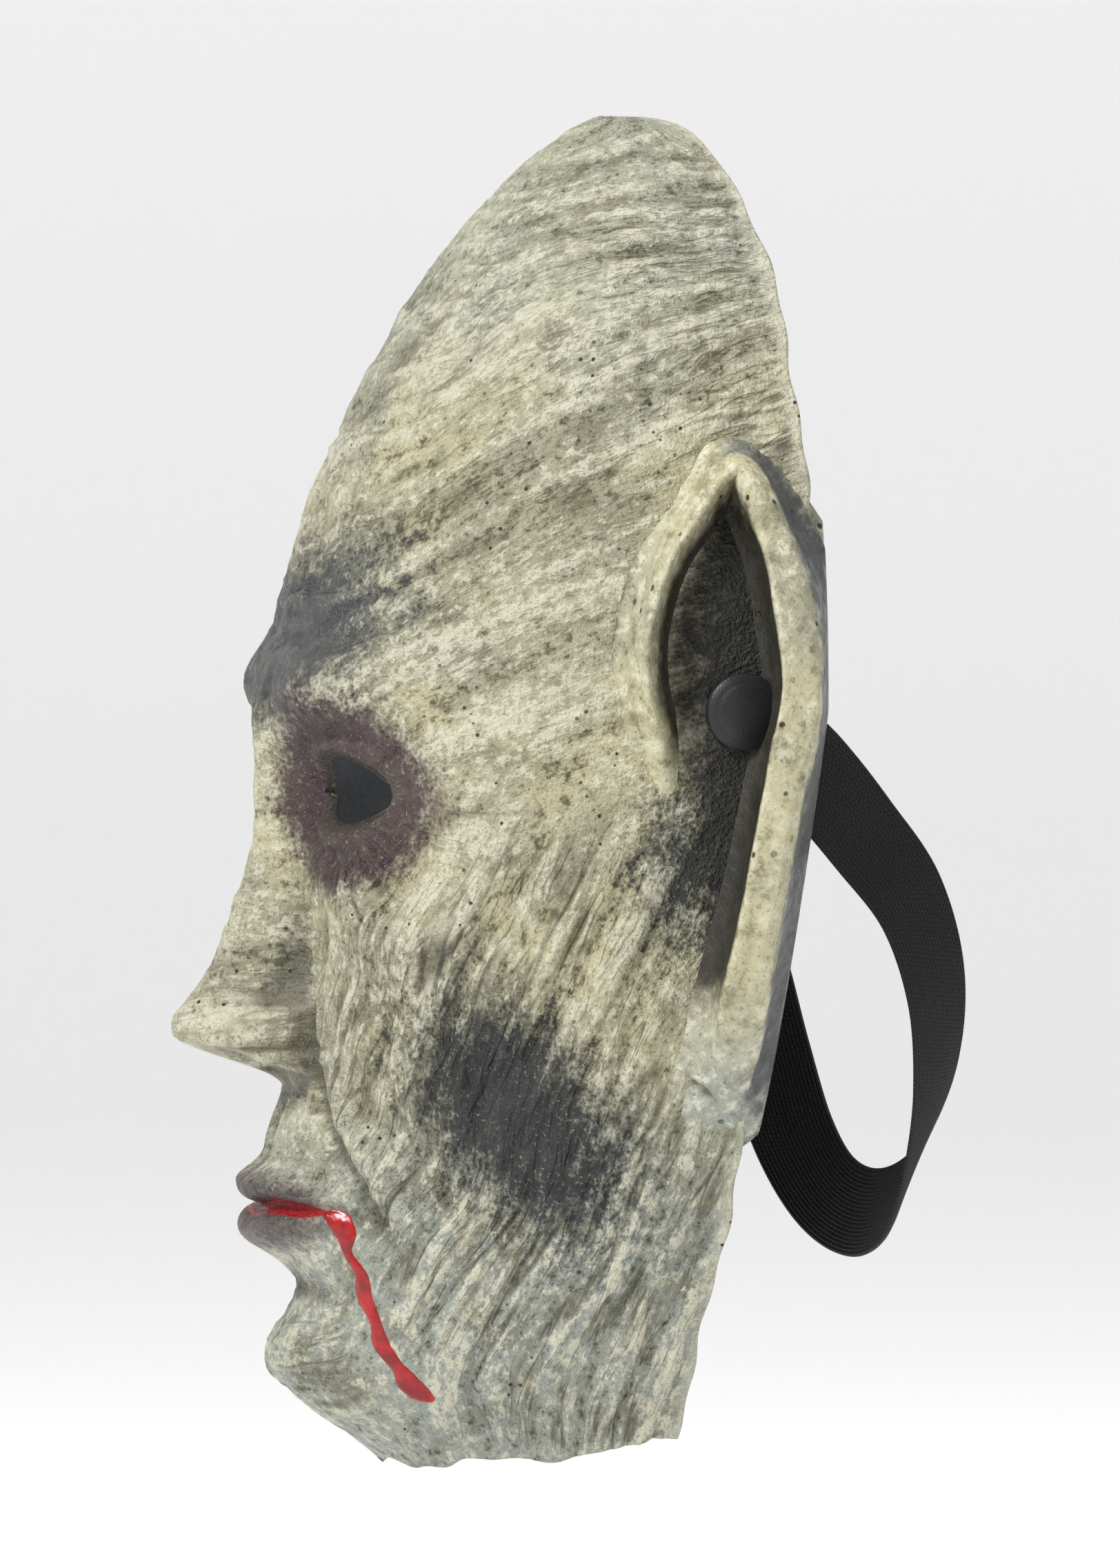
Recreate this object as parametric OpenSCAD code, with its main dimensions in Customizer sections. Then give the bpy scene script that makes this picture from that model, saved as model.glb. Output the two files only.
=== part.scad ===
/* [Mask shell] */
// Width of the latex shell across the temples, without the ears
shell_w = 156; // [140:1:170]
// Height from the strap snaps up to the peak of the crown
crown_h = 125; // [110:1:140]
// Depth from the strap snaps down to the lowest point under the chin
chin_h = 161; // [150:1:175]
// Thickness of the latex wall
wall_t = 2.4; // [1.6:0.1:3.2]
// Distance from the snap line forward to the brow
brow_reach = 84; // [76:1:92]

/* [Eye holes] */
// Distance between the centres of the two eye holes
eye_gap = 64; // [60:1:68]
// Length of one eye hole
eye_len = 31; // [26:1:34]
// Height of one eye hole
eye_h = 14; // [10:1:16]

/* [Ears] */
// How far the back rim of an ear stands out from the shell
ear_out = 21; // [14:1:26]

/* [Strap] */
// Width of the elastic
strap_w = 20; // [16:1:22]
// Thickness of the elastic
strap_t = 1.3; // [1:0.1:1.5]

/* [Snaps] */
// Diameter of the round cap on the outside
cap_d = 16; // [13:0.5:17]
// Height of the domed cap
cap_h = 3.4; // [2.5:0.1:4]
// Diameter of the post that passes through the latex and the strap
post_d = 4; // [3:0.5:5]

/* [Hidden] */

// Snap stack, measured outwards along X from the middle of the mask
half_w = shell_w / 2;
seat_cut = 0.3;
seat_x = half_w - seat_cut;        // flat seat of the cap on the outside of the latex
inner_x = half_w - wall_t;         // flat seat of the patch on the inside
cap_margin = 0.3;                  // how far the flat seat reaches past the cap
dome_rise = 2.2;                   // part of the cap's height that is domed
patch_t = 0.9;
patch_r = 12;
recess_r = patch_r + 2.2;          // flat the strap's tab turns on
strap_play = 0.05;
strap_x = inner_x - patch_t - strap_play - strap_t / 2;
socket_x = strap_x - strap_t / 2 - strap_play;
socket_h = 2.6;
socket_d = 12.5;
flange_t = 0.9;
flange_out = 2.2;                  // how far the ring's flange stands out from its collar
post_short = 0.6;                  // the post ends this far inside the ring
post_r = post_d / 2;
bore_play = 0.05;

// Height of the eye line, the nose base, the mouth and the chin: the classical thirds of a head
eye_z = (crown_h - chin_h) / 2;
brow_z = eye_z + 17;
nose_z = (brow_z - chin_h) / 2 + 4;
mouth_z = nose_z - (chin_h + nose_z) / 3 - 1;
chin_z = -chin_h + 20;
eye_x = eye_gap / 2;

function bell(v, middle, spread) = exp(-pow((v - middle) / spread, 2));
function smooth(v) = v <= 0 ? 0 : v >= 1 ? 1 : v * v * (3 - 2 * v);
function ramp(v, from, to) = smooth((v - from) / (to - from));

// ---- outline of the head ----
peak_y = -13;
rear_rise = 28;   // how far the rear edge lies behind the peak at the snaps' height
jaw_in = 36;      // how far each side comes in at the foot of the jaw
function side_w(z) = z > 0
    ? half_w * pow(max(0, 1 - pow(z / crown_h, 2.6)), 0.5)
    : half_w - jaw_in * pow(-z / 150, 2.2);
function rear_y(z) = z > 0
    ? peak_y + rear_rise * pow(max(0, 1 - pow(z / crown_h, 2)), 0.25)
    : peak_y + rear_rise + z * 0.135;
function front_y(z) = z > 0
    ? peak_y - (brow_reach + peak_y) * pow(max(0, 1 - pow(z / crown_h, 1.6)), 0.72)
    : -brow_reach + 5 * ramp(-z, 0, 60) + 22 * pow(ramp(-z, chin_h - 26, chin_h + 8), 1.3);
// how square a level section is: rounder at the chin than at the temples
function squareness(z) = 1.9 + 0.5 * ramp(z, -chin_h, -60);
// a point of the plain head, t = -1 at the right rear edge, 0 in front and 1 at the left rear edge
function head_point(t, z) = let (n = 2 / squareness(z), s = sin(90 * abs(t)), c = cos(90 * abs(t)))
    [sign(t) * side_w(z) * pow(s, n), rear_y(z) - (rear_y(z) - front_y(z)) * pow(max(0, c), n), z];

// ---- features, each as a forward push in millimetres at a place on the face ----
function nose(x, z) = let (
        down = ramp(-z, -brow_z, -nose_z - 8),
        under = ramp(z, nose_z - 3, nose_z + 6),
        width = 7 + 6 * down)
    27 * pow(down, 1.25) * under * bell(x, 0, width);
function nose_wings(x, z) = 9 * bell(abs(x), 14, 6) * bell(z, nose_z + 7, 7);
function brow(x, z) = 5 * bell(abs(x), 27, 20) * bell(z, brow_z, 9);
function eye_socket(x, z) = -9 * bell(abs(x), eye_x, 17) * bell(z, eye_z, 11);
function cheekbone(x, z) = 5 * bell(abs(x), 47, 16) * bell(z, eye_z - 30, 16);
function cheek_hollow(x, z) = -3 * bell(abs(x), 46, 14) * bell(z, mouth_z + 8, 16);
function muzzle(x, z) = 7 * bell(x, 0, 30) * bell(z, mouth_z + 3, 20);
function lips(x, z) = bell(x, 0, 22)
    * (3.5 * bell(z, mouth_z + 6, 4.5) + 3.5 * bell(z, mouth_z - 6, 4.5) - 2 * bell(z, mouth_z, 2.5));
function chin(x, z) = 6 * bell(x, 0, 20) * bell(z, chin_z, 12) - 3 * bell(x, 0, 22) * bell(z, chin_z + 19, 7);
function push(x, z) = nose(x, z) + nose_wings(x, z) + brow(x, z) + eye_socket(x, z) + cheekbone(x, z)
    + cheek_hollow(x, z) + muzzle(x, z) + lips(x, z) + chin(x, z);
function face_point(t, z) = let (p = head_point(t, z)) [p[0], p[1] - push(p[0], z), z];

// ---- the shell as two point grids, outside and inside ----
columns = 44;
jaw_rows = 26;
crown_rows = 10;
rows = jaw_rows + crown_rows;
function row_z(k) = k <= jaw_rows
    ? -chin_h * (1 - k / jaw_rows)
    : crown_h * sin(84 * (k - jaw_rows) / crown_rows);
// columns are closer together over the nose and the mouth
function column_t(i) = let (u = 2 * i / columns - 1) sign(u) * (0.72 * abs(u) + 0.28 * pow(abs(u), 2));
function unit(v) = v / norm(v);
function lerp(a, b, share) = a + (b - a) * share;
function wall_normal(i, k) = let (
        e = 0.02,
        t = column_t(i),
        z = row_z(k),
        a = face_point(min(1, t + e), z) - face_point(max(-1, t - e), z),
        up = face_point(t, min(z + 1.5, crown_h * 0.998)) - face_point(t, z - 1.5))
    unit(cross(a, up));
function outer_point(i, k) = face_point(column_t(i), row_z(k));
function inner_point(i, k) = outer_point(i, k) - wall_t * wall_normal(i, k);
peak = [0, peak_y, crown_h];
peak_inside = peak - [0, 0.4 * wall_t, wall_t];
function at(i, k) = k * (columns + 1) + i;

module face_shell_blank() {
    count = (columns + 1) * (rows + 1);
    outside = [for (k = [0:rows]) for (i = [0:columns]) outer_point(i, k)];
    inside = [for (k = [0:rows]) for (i = [0:columns]) inner_point(i, k)];
    top = 2 * count;
    top_inside = top + 1;
    faces = [
        for (k = [0:rows - 1]) for (i = [0:columns - 1]) each [
            [at(i, k), at(i, k + 1), at(i + 1, k + 1)],
            [at(i, k), at(i + 1, k + 1), at(i + 1, k)],
            [count + at(i, k), count + at(i + 1, k + 1), count + at(i, k + 1)],
            [count + at(i, k), count + at(i + 1, k), count + at(i + 1, k + 1)]],
        for (i = [0:columns - 1]) each [
            [at(i, rows), top, at(i + 1, rows)],
            [count + at(i, rows), count + at(i + 1, rows), top_inside],
            [at(i, 0), at(i + 1, 0), count + at(i + 1, 0)],
            [at(i, 0), count + at(i + 1, 0), count + at(i, 0)]],
        for (k = [0:rows - 1]) each [
            [at(0, k), count + at(0, k), count + at(0, k + 1)],
            [at(0, k), count + at(0, k + 1), at(0, k + 1)],
            [at(columns, k), at(columns, k + 1), count + at(columns, k + 1)],
            [at(columns, k), count + at(columns, k + 1), count + at(columns, k)]],
        [at(0, rows), count + at(0, rows), top_inside],
        [at(0, rows), top_inside, top],
        [at(columns, rows), top, top_inside],
        [at(columns, rows), top_inside, count + at(columns, rows)]];
    polyhedron(points = concat(outside, inside, [peak, peak_inside]), faces = faces, convexity = 8);
}

// almond outline of an eye hole: two arcs that meet at the corners
function almond(length, height, steps = 12) = [
    for (s = [0:steps - 1]) [length * (s / steps - 0.5), height / 2 * (1 - pow(2 * s / steps - 1, 2))],
    for (s = [0:steps - 1]) [length * (0.5 - s / steps), -height / 2 * (1 - pow(2 * s / steps - 1, 2))]];

module on_side(side) {
    if (side > 0) children();
    else mirror([1, 0, 0]) children();
}

module along_x(x, length, r, fn = 48) {
    translate([x, 0, 0]) rotate([0, 90, 0]) cylinder(h = length, r = r, $fn = fn);
}

module face_shell() {
    color("tan") difference() {
        face_shell_blank();
        for (side = [-1, 1]) on_side(side) {
            translate([eye_x, -40, eye_z]) rotate([90, 0, 0])
                linear_extrude(height = 70) polygon(almond(eye_len, eye_h));
            along_x(seat_x, 10, cap_d / 2 + cap_margin);
            along_x(inner_x - 10, 10, recess_r);
            along_x(inner_x - 5, 20, post_r + bore_play);
        }
    }
}

// ---- ears: a closed rim swept round the ear's outline, standing on the shell ----
// each row is depth, height, how far the rim stands out (share of ear_out) and its thickness
ear_outline = [
    [-1, 50, 0.35, 5], [-9, 41, 0.32, 5], [-16, 30, 0.38, 5.5], [-20, 16, 0.42, 6], [-20, 3, 0.4, 6],
    [-17, -8, 0.3, 6], [-14, -24, 0.16, 6], [-13, -44, 0.14, 6], [-14, -64, 0.2, 7], [-11, -80, 0.3, 8],
    [-5, -78, 0.52, 7], [0, -62, 0.8, 6.5], [4.5, -42, 0.92, 6.5], [9, -20, 1, 6.5], [13.9, 2, 1, 6.5],
    [11.5, 22, 0.92, 6], [6, 38, 0.65, 5.5]];
ear_steps = 3;
ear_rings = len(ear_outline) * ear_steps;
ear_foot = 1.2;  // how deep the rim's foot is set into the shell
rim_lean = 7;    // how far the tallest part of the rim leans forward over the hollow
function spline(a, b, c, d, f) = 0.5 * ((2 * b) + (c - a) * f
    + (2 * a - 5 * b + 4 * c - d) * f * f + (3 * b - a - 3 * c + d) * f * f * f);
function ear_at(r) = let (n = len(ear_outline), k = floor(r / ear_steps), f = r / ear_steps - k)
    spline(ear_outline[(k + n - 1) % n], ear_outline[k % n], ear_outline[(k + 1) % n],
           ear_outline[(k + 2) % n], f);
// outline of the rim's section: across the rim and up from the foot, both as shares
rim_section = [[-0.75, 0], [-0.5, 0.4], [-0.42, 0.75], [-0.2, 0.97],
               [0.2, 0.97], [0.42, 0.75], [0.5, 0.4], [0.75, 0]];
// level of the shell's side at a depth and height
function shell_x(y, z) = let (n = squareness(z), reach = max(0, (rear_y(z) - y) / (rear_y(z) - front_y(z))))
    side_w(z) * pow(max(0.01, 1 - pow(reach, n)), 1 / n);
function ear_point(r, q) = let (
        e = ear_at(r),
        along = ear_at((r + 0.5) % ear_rings) - ear_at((r + ear_rings - 0.5) % ear_rings),
        side = unit([-along[1], along[0]]),
        foot = shell_x(min(e[0], rear_y(e[1]) - 1), e[1]) - ear_foot,
        up = q[1] * (ear_out * e[2] + ear_foot),
        across = -q[0] * e[3],
        lean = -rim_lean * e[2] * e[2] * q[1])
    [foot + up, e[0] + side[0] * across + lean, e[1] + side[1] * across];

module ear_rim() {
    sides = len(rim_section);
    points = [for (r = [0:ear_rings - 1]) for (q = rim_section) ear_point(r, q)];
    faces = [for (r = [0:ear_rings - 1]) for (s = [0:sides - 1]) let (
            a = r * sides, b = ((r + 1) % ear_rings) * sides, n = (s + 1) % sides)
        each [[a + s, a + n, b + n], [a + s, b + n, b + s]]];
    polyhedron(points = points, faces = faces, convexity = 6);
}
module left_ear() { color("wheat") ear_rim(); }
module right_ear() { color("wheat") on_side(-1) ear_rim(); }

// ---- snaps: a domed cap with its post outside, a ring pressed on to the post inside ----
module snap_cap() {
    dome_r = (cap_d * cap_d / 4 + dome_rise * dome_rise) / (2 * dome_rise);
    translate([seat_x, 0, 0]) rotate([0, 90, 0]) {
        cylinder(h = cap_h - dome_rise, r = cap_d / 2, $fn = 64);
        translate([0, 0, cap_h - dome_rise]) intersection() {
            translate([0, 0, dome_rise - dome_r]) sphere(r = dome_r, $fn = 96);
            cylinder(h = 2 * dome_rise, r = cap_d / 2, $fn = 64);
        }
    }
    post_end = socket_x - socket_h + post_short;
    along_x(post_end, seat_x - post_end, post_r);
}
module left_snap_cap() { color("black") snap_cap(); }
module right_snap_cap() { color("black") on_side(-1) snap_cap(); }

module snap_socket() {
    difference() {
        union() {
            along_x(socket_x - flange_t, flange_t, socket_d / 2);
            along_x(socket_x - socket_h, socket_h, socket_d / 2 - flange_out);
        }
        along_x(socket_x - socket_h - 1, socket_h + 2, post_r);
    }
}
module left_snap_socket() { color("dimgray") snap_socket(); }
module right_snap_socket() { color("dimgray") on_side(-1) snap_socket(); }

module strap_patch() {
    difference() {
        along_x(inner_x - patch_t, patch_t, patch_r);
        along_x(inner_x - 5, 10, post_r + bore_play);
    }
}
module left_strap_patch() { color("darkslategray") strap_patch(); }
module right_strap_patch() { color("darkslategray") on_side(-1) strap_patch(); }

// ---- strap: one band of elastic from snap to snap, hanging in a loop behind the mask ----
// points of its middle line after the flat tab at each snap, left side first
strap_route = [
    [71.7, 17, -14], [67.5, 28, -26], [64, 39, -40], [58, 46, -58], [47, 49, -77], [31, 49.5, -94],
    [12, 49, -106], [-9, 47, -111], [-30, 44, -108], [-48, 41, -97], [-60, 38, -80], [-67, 34, -60],
    [-68, 27, -38], [-71.7, 17, -19]];
// direction of the left and the right tab, below the level, and their length past the post
left_tab_angle = 40;
right_tab_angle = 48;
tab_tail = 9;
tab_run = 10;
function tab_point(side, angle, run) = [side * strap_x, run * cos(angle), -run * sin(angle)];
strap_path = concat(
    [for (d = [-tab_tail, 0, tab_run]) tab_point(1, left_tab_angle, d)],
    strap_route,
    [for (d = [tab_run, 0, -tab_tail]) tab_point(-1, right_tab_angle, d)]);
strap_steps = 4;
strap_spans = len(strap_path) - 1;
strap_rings = strap_spans * strap_steps;
function path_at(k) = strap_path[max(0, min(strap_spans, k))];
function strap_at(r) = let (k = min(floor(r / strap_steps), strap_spans - 1), f = r / strap_steps - k)
    k < 2 || k > strap_spans - 3 ? lerp(path_at(k), path_at(k + 1), f)
    : spline(path_at(k - 1), path_at(k), path_at(k + 1), path_at(k + 2), f);
function strap_run(r) = unit(strap_at(min(r + 0.5, strap_rings)) - strap_at(max(r - 0.5, 0)));
// the face of the band looks away from the middle of the loop, and straight out at the tabs
loop_z = -45;
tab_turn = [2 * strap_steps, 3.2 * strap_steps];  // rings over which the band leaves its flat tab
function band_face(r) = let (
        p = strap_at(r),
        from_end = min(r, strap_rings - r),
        tab = 1 - ramp(from_end, tab_turn[0], tab_turn[1]),
        loop_face = [p[0], max(p[1], 1), (p[2] - loop_z) * 0.25],
        away = unit(lerp(loop_face, [sign(p[0]) * half_w, 0, 0], tab)),
        run = strap_run(r))
    unit(away - run * (away * run));
module elastic_band() {
    points = [for (r = [0:strap_rings]) let (
            p = strap_at(r), face = band_face(r), across = cross(strap_run(r), face))
        each [p + face * strap_t / 2 + across * strap_w / 2, p + face * strap_t / 2 - across * strap_w / 2,
              p - face * strap_t / 2 - across * strap_w / 2, p - face * strap_t / 2 + across * strap_w / 2]];
    last = strap_rings * 4;
    faces = concat(
        [[0, 3, 2], [0, 2, 1]],
        [for (r = [0:strap_rings - 1]) for (s = [0:3]) let (a = r * 4, b = a + 4, n = (s + 1) % 4)
            each [[a + s, a + n, b + n], [a + s, b + n, b + s]]],
        [[last, last + 1, last + 2], [last, last + 2, last + 3]]);
    polyhedron(points = points, faces = faces, convexity = 8);
}
module elastic_strap() {
    color("black") difference() {
        elastic_band();
        for (side = [-1, 1]) on_side(side) along_x(strap_x - 5, 10, post_r + bore_play);
    }
}

face_shell();
left_ear();
right_ear();
left_snap_cap();
right_snap_cap();
left_snap_socket();
right_snap_socket();
left_strap_patch();
right_strap_patch();
elastic_strap();
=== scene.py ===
"""Latex halloween mask: painted skin, pointed ears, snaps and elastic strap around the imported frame."""

import math

import bpy
import numpy as np
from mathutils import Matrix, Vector


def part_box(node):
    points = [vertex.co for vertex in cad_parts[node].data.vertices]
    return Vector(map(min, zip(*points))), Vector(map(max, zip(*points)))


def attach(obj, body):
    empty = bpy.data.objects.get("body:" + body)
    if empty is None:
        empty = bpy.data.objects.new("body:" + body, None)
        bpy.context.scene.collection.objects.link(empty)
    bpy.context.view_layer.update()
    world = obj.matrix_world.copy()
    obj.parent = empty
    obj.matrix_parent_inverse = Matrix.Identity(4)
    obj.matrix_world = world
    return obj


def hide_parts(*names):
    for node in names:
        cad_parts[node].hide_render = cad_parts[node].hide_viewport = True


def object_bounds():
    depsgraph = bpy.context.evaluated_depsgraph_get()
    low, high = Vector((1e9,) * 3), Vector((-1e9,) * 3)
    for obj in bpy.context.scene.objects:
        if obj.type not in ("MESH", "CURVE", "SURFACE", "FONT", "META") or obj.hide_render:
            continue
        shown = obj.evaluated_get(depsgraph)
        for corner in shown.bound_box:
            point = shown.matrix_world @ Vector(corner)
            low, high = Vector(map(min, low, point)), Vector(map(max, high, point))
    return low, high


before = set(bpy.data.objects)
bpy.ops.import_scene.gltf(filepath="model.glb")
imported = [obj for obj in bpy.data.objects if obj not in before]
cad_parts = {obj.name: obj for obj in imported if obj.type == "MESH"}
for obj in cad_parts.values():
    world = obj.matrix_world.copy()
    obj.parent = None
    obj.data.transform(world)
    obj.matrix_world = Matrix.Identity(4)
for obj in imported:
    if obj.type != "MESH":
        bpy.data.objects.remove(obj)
cad_low, cad_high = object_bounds()
MM = 0.001


# ---------------------------------------------------------------- camera
def make_camera():
    """Long lens level with the mask, on the wearer's left and a little in front."""
    data = bpy.data.cameras.new("camera")
    data.lens = 200
    data.sensor_width = 36
    data.clip_end = 20
    camera = bpy.data.objects.new("camera", data)
    turn, rise = math.radians(78), math.radians(2)
    away = Vector((math.sin(turn) * math.cos(rise), -math.cos(turn) * math.cos(rise), math.sin(rise)))
    across = Vector((math.cos(turn), math.sin(turn), 0))
    target = across * -0.0215 + Vector((0, 0, -0.0175))
    camera.location = target + away * 1.865
    camera.rotation_euler = (-away).to_track_quat("-Z", "Y").to_euler()
    bpy.context.scene.collection.objects.link(camera)
    bpy.context.scene.camera = camera


make_camera()

# ---------------------------------------------------------------- sizes, from the frame
shell_low, shell_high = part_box("face_shell")
cap_low, cap_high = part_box("left_snap_cap")
HALF_W = shell_high.x / MM
CROWN_H = shell_high.z / MM
CHIN_H = -shell_low.z / MM
BROW_REACH = 84.0
WALL_T = 2.4
EYE_GAP = 64.0
EYE_LEN = 31.0
EYE_H = 14.0
EYE_X = EYE_GAP / 2
EYE_Z = (CROWN_H - CHIN_H) / 2
BROW_Z = EYE_Z + 17
NOSE_Z = (BROW_Z - CHIN_H) / 2 + 4
MOUTH_Z = NOSE_Z - (CHIN_H + NOSE_Z) / 3 - 1
CHIN_Z = -CHIN_H + 20
SEAT_X = HALF_W - 0.3
INNER_X = SEAT_X - WALL_T + 0.3
EAR_OUT = 21.0
PEAK_Y = -13.0
REAR_RISE = 28.0
NECK_LEAN = 0.135


# ---------------------------------------------------------------- small maths
def bell(v, middle, spread):
    return np.exp(-(((v - middle) / spread) ** 2))


def ramp(v, start, end):
    t = np.clip((v - start) / (end - start), 0, 1)
    return t * t * (3 - 2 * t)


def unit_rows(v):
    return v / np.maximum(np.linalg.norm(v, axis=-1, keepdims=True), 1e-9)


def spline(a, b, c, d, f):
    """Smooth curve from b to c, a share f of the way, shaped by the rows a and d on either side."""
    return 0.5 * (2 * b + (c - a) * f + (2 * a - 5 * b + 4 * c - d) * f**2 + (3 * b - a - 3 * c + d) * f**3)


def ring_faces(rings, count, closed=False, reverse=False):
    """Four-sided faces between rings of points; closed joins the last ring to the first."""
    faces = []
    for r in range(rings if closed else rings - 1):
        a, b = r * count, (r + 1) % rings * count
        for s in range(count):
            n = (s + 1) % count
            faces.append((a + s, a + n, b + n, b + s) if reverse else (a + s, b + s, b + n, a + n))
    return faces


# ---------------------------------------------------------------- the plain head
def side_w(z):
    up = HALF_W * np.sqrt(np.maximum(0, 1 - np.abs(z / CROWN_H) ** 2.6))
    down = HALF_W - 36 * (np.maximum(0, -z) / 150) ** 2.2
    return np.where(z > 0, up, down)


def rear_y(z):
    up = PEAK_Y + REAR_RISE * np.maximum(0, 1 - (z / CROWN_H) ** 2) ** 0.25
    return np.where(z > 0, up, PEAK_Y + REAR_RISE + z * NECK_LEAN)


def front_y(z):
    up = PEAK_Y - (BROW_REACH + PEAK_Y) * np.maximum(0, 1 - (np.abs(z) / CROWN_H) ** 1.6) ** 0.72
    down = -BROW_REACH + 5 * ramp(-z, 0, 60) + 22 * ramp(-z, CHIN_H - 26, CHIN_H + 8) ** 1.3
    return np.where(z > 0, up, down)


def squareness(z):
    return 1.9 + 0.5 * ramp(z, -CHIN_H, -60)


def head_point(t, z):
    """A point of the plain head: t is -1 at the right rear edge, 0 in front and 1 at the left rear edge."""
    n = 2 / squareness(z)
    s = np.sin(np.pi / 2 * np.abs(t))
    c = np.maximum(0, np.cos(np.pi / 2 * np.abs(t)))
    x = np.sign(t) * side_w(z) * s**n
    y = rear_y(z) - (rear_y(z) - front_y(z)) * c**n
    return x, y


# ---------------------------------------------------------------- the face, as forward pushes in mm
def nose(x, z):
    """Bridge, tip and the step under the tip."""
    down = ramp(-z, -BROW_Z, -NOSE_Z - 8)
    under = ramp(z, NOSE_Z - 5, NOSE_Z + 7.5)
    ax = np.abs(x)
    ridge = 21 * down**1.15 * np.exp(-((ax / (6.5 + 4.5 * down)) ** 2.4))
    root = 3.5 * bell(z, BROW_Z - 13, 12) * bell(x, 0, 8)
    tip = 6 * np.sqrt(np.maximum(0, bell(x, 0, 9))) * bell(z, NOSE_Z + 9, 8)
    return (ridge + tip) * under + root


def nose_wings(x, z):
    ax = np.abs(x)
    wing = 9.5 * bell(ax, 14, 5.2) * bell(z, NOSE_Z + 6, 6.5) * ramp(z, NOSE_Z - 3, NOSE_Z + 2.5)
    crease = -1.8 * bell(ax, 20.5, 2.6) * bell(z, NOSE_Z + 7, 8)
    return wing + crease


def brow(x, z):
    ax = np.abs(x)
    arch = BROW_Z + 2 + 3.5 * bell(ax, 30, 14)
    ridge = 5.5 * bell(ax, 27, 19) * bell(z, arch, 9.5)
    glabella = 2.5 * bell(x, 0, 10) * bell(z, BROW_Z + 2, 10)
    furrow = -1.2 * bell(ax, 6, 1.8) * bell(z, BROW_Z + 1, 9)
    return ridge + glabella + furrow


def eye_region(x, z):
    """Socket, eyeball swell with its lids, and the fold over the upper lid."""
    ax = np.abs(x)
    socket = -9.5 * np.exp(-(((ax - EYE_X) / 18) ** 2) ** 1.2) * bell(z, EYE_Z + 1, 12)
    inner_corner = -3.5 * bell(ax, EYE_X - 16, 6) * bell(z, EYE_Z, 9)
    ball = 6 * np.exp(-((((ax - EYE_X) / 15.5) ** 2 + ((z - EYE_Z) / 12.5) ** 2) ** 1.3))
    fold_z = EYE_Z + 12.5 - 3 * ((ax - EYE_X) / 15) ** 2
    fold = -2.2 * bell(z, fold_z, 1.9) * bell(ax, EYE_X, 15)
    bag_z = EYE_Z - 13 + 3.5 * ((ax - EYE_X) / 15) ** 2
    bag = -1.5 * bell(z, bag_z, 1.8) * bell(ax, EYE_X - 2, 14)
    bag = bag + 1.2 * bell(z, bag_z + 4, 3) * bell(ax, EYE_X, 12)
    return socket + inner_corner + ball + fold + bag


def cheeks(x, z):
    ax = np.abs(x)
    bone = 6 * bell(ax, 46, 15) * bell(z + 0.25 * (ax - 46), EYE_Z - 27, 13)
    apple = 4 * bell(ax, 31, 13) * bell(z, NOSE_Z + 13, 14)
    hollow = -5.5 * bell(ax, 46, 14) * bell(z, MOUTH_Z + 6, 17)
    temple = -3 * bell(ax, 66, 12) * bell(z, 18, 26)
    return bone + apple + hollow + temple


def mouth(x, z):
    ax = np.abs(x)
    muzzle = 7.5 * bell(x, 0, 27) * bell(z, MOUTH_Z + 3, 20)
    philtrum = -1.6 * bell(x, 0, 2.6) * bell(z, MOUTH_Z + 17, 7)
    philtrum = philtrum + 0.8 * bell(ax, 5.2, 2) * bell(z, MOUTH_Z + 15, 6)
    line_z = MOUTH_Z - 0.8 * bell(x, 0, 7) + 0.8 * bell(ax, 13, 8)
    span = np.exp(-((ax / 24) ** 4))
    upper_z = line_z + 4.2 + 0.9 * bell(ax, 5, 4) - 2.5 * (ax / 25) ** 2
    upper = 5.4 * span * bell(z, upper_z, 3.6 - 1.6 * (ax / 27) ** 2)
    lower = 6.2 * span * bell(z, line_z - 5.4 + 3 * (ax / 25) ** 2, 4.6 - 2 * (ax / 27) ** 2)
    slit = -3.4 * np.exp(-((ax / 26) ** 6)) * bell(z, line_z, 1.3)
    corner = -2.6 * bell(ax, 27.5, 3.4) * bell(z, MOUTH_Z - 0.6, 3.6)
    return muzzle + philtrum + upper + lower + slit + corner


def chin(x, z):
    ball = 7.5 * bell(x, 0, 18) * bell(z, CHIN_Z, 12)
    crease = -4 * np.exp(-((np.abs(x) / 20) ** 2.6)) * bell(z, CHIN_Z + 17, 6)
    dimple = -0.8 * bell(x, 0, 3) * bell(z, CHIN_Z - 2, 6)
    return ball + crease + dimple


def folds(x, z):
    """The calm fold from each nose wing down past the mouth corner."""
    ax = np.abs(x)
    path_x = 21 + 13 * ramp(-z, -NOSE_Z - 6, -MOUTH_Z + 10)
    along = ramp(z, MOUTH_Z - 16, MOUTH_Z + 2) * ramp(-z, -NOSE_Z - 9, -NOSE_Z - 2)
    return along * (-2.2 * bell(ax, path_x, 2.4) + 1.6 * bell(ax, path_x + 5, 4.5))


def push(x, z):
    """All of the face together, in the order in which it is built up."""
    upper = nose(x, z) + nose_wings(x, z) + brow(x, z) + eye_region(x, z)
    return upper + cheeks(x, z) + mouth(x, z) + chin(x, z) + folds(x, z)


# ---------------------------------------------------------------- the skin's point grid
COLUMNS = 300
ROWS = 260


def column_share(i):
    """Even steps turned into the head's t, with closer columns at the middle and at the rear edge."""
    u = 2 * i / COLUMNS - 1
    a = np.abs(u)
    return np.sign(u) * ((1 - a) * a**1.2 + a * (1 - (1 - a) ** 1.2))


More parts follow.
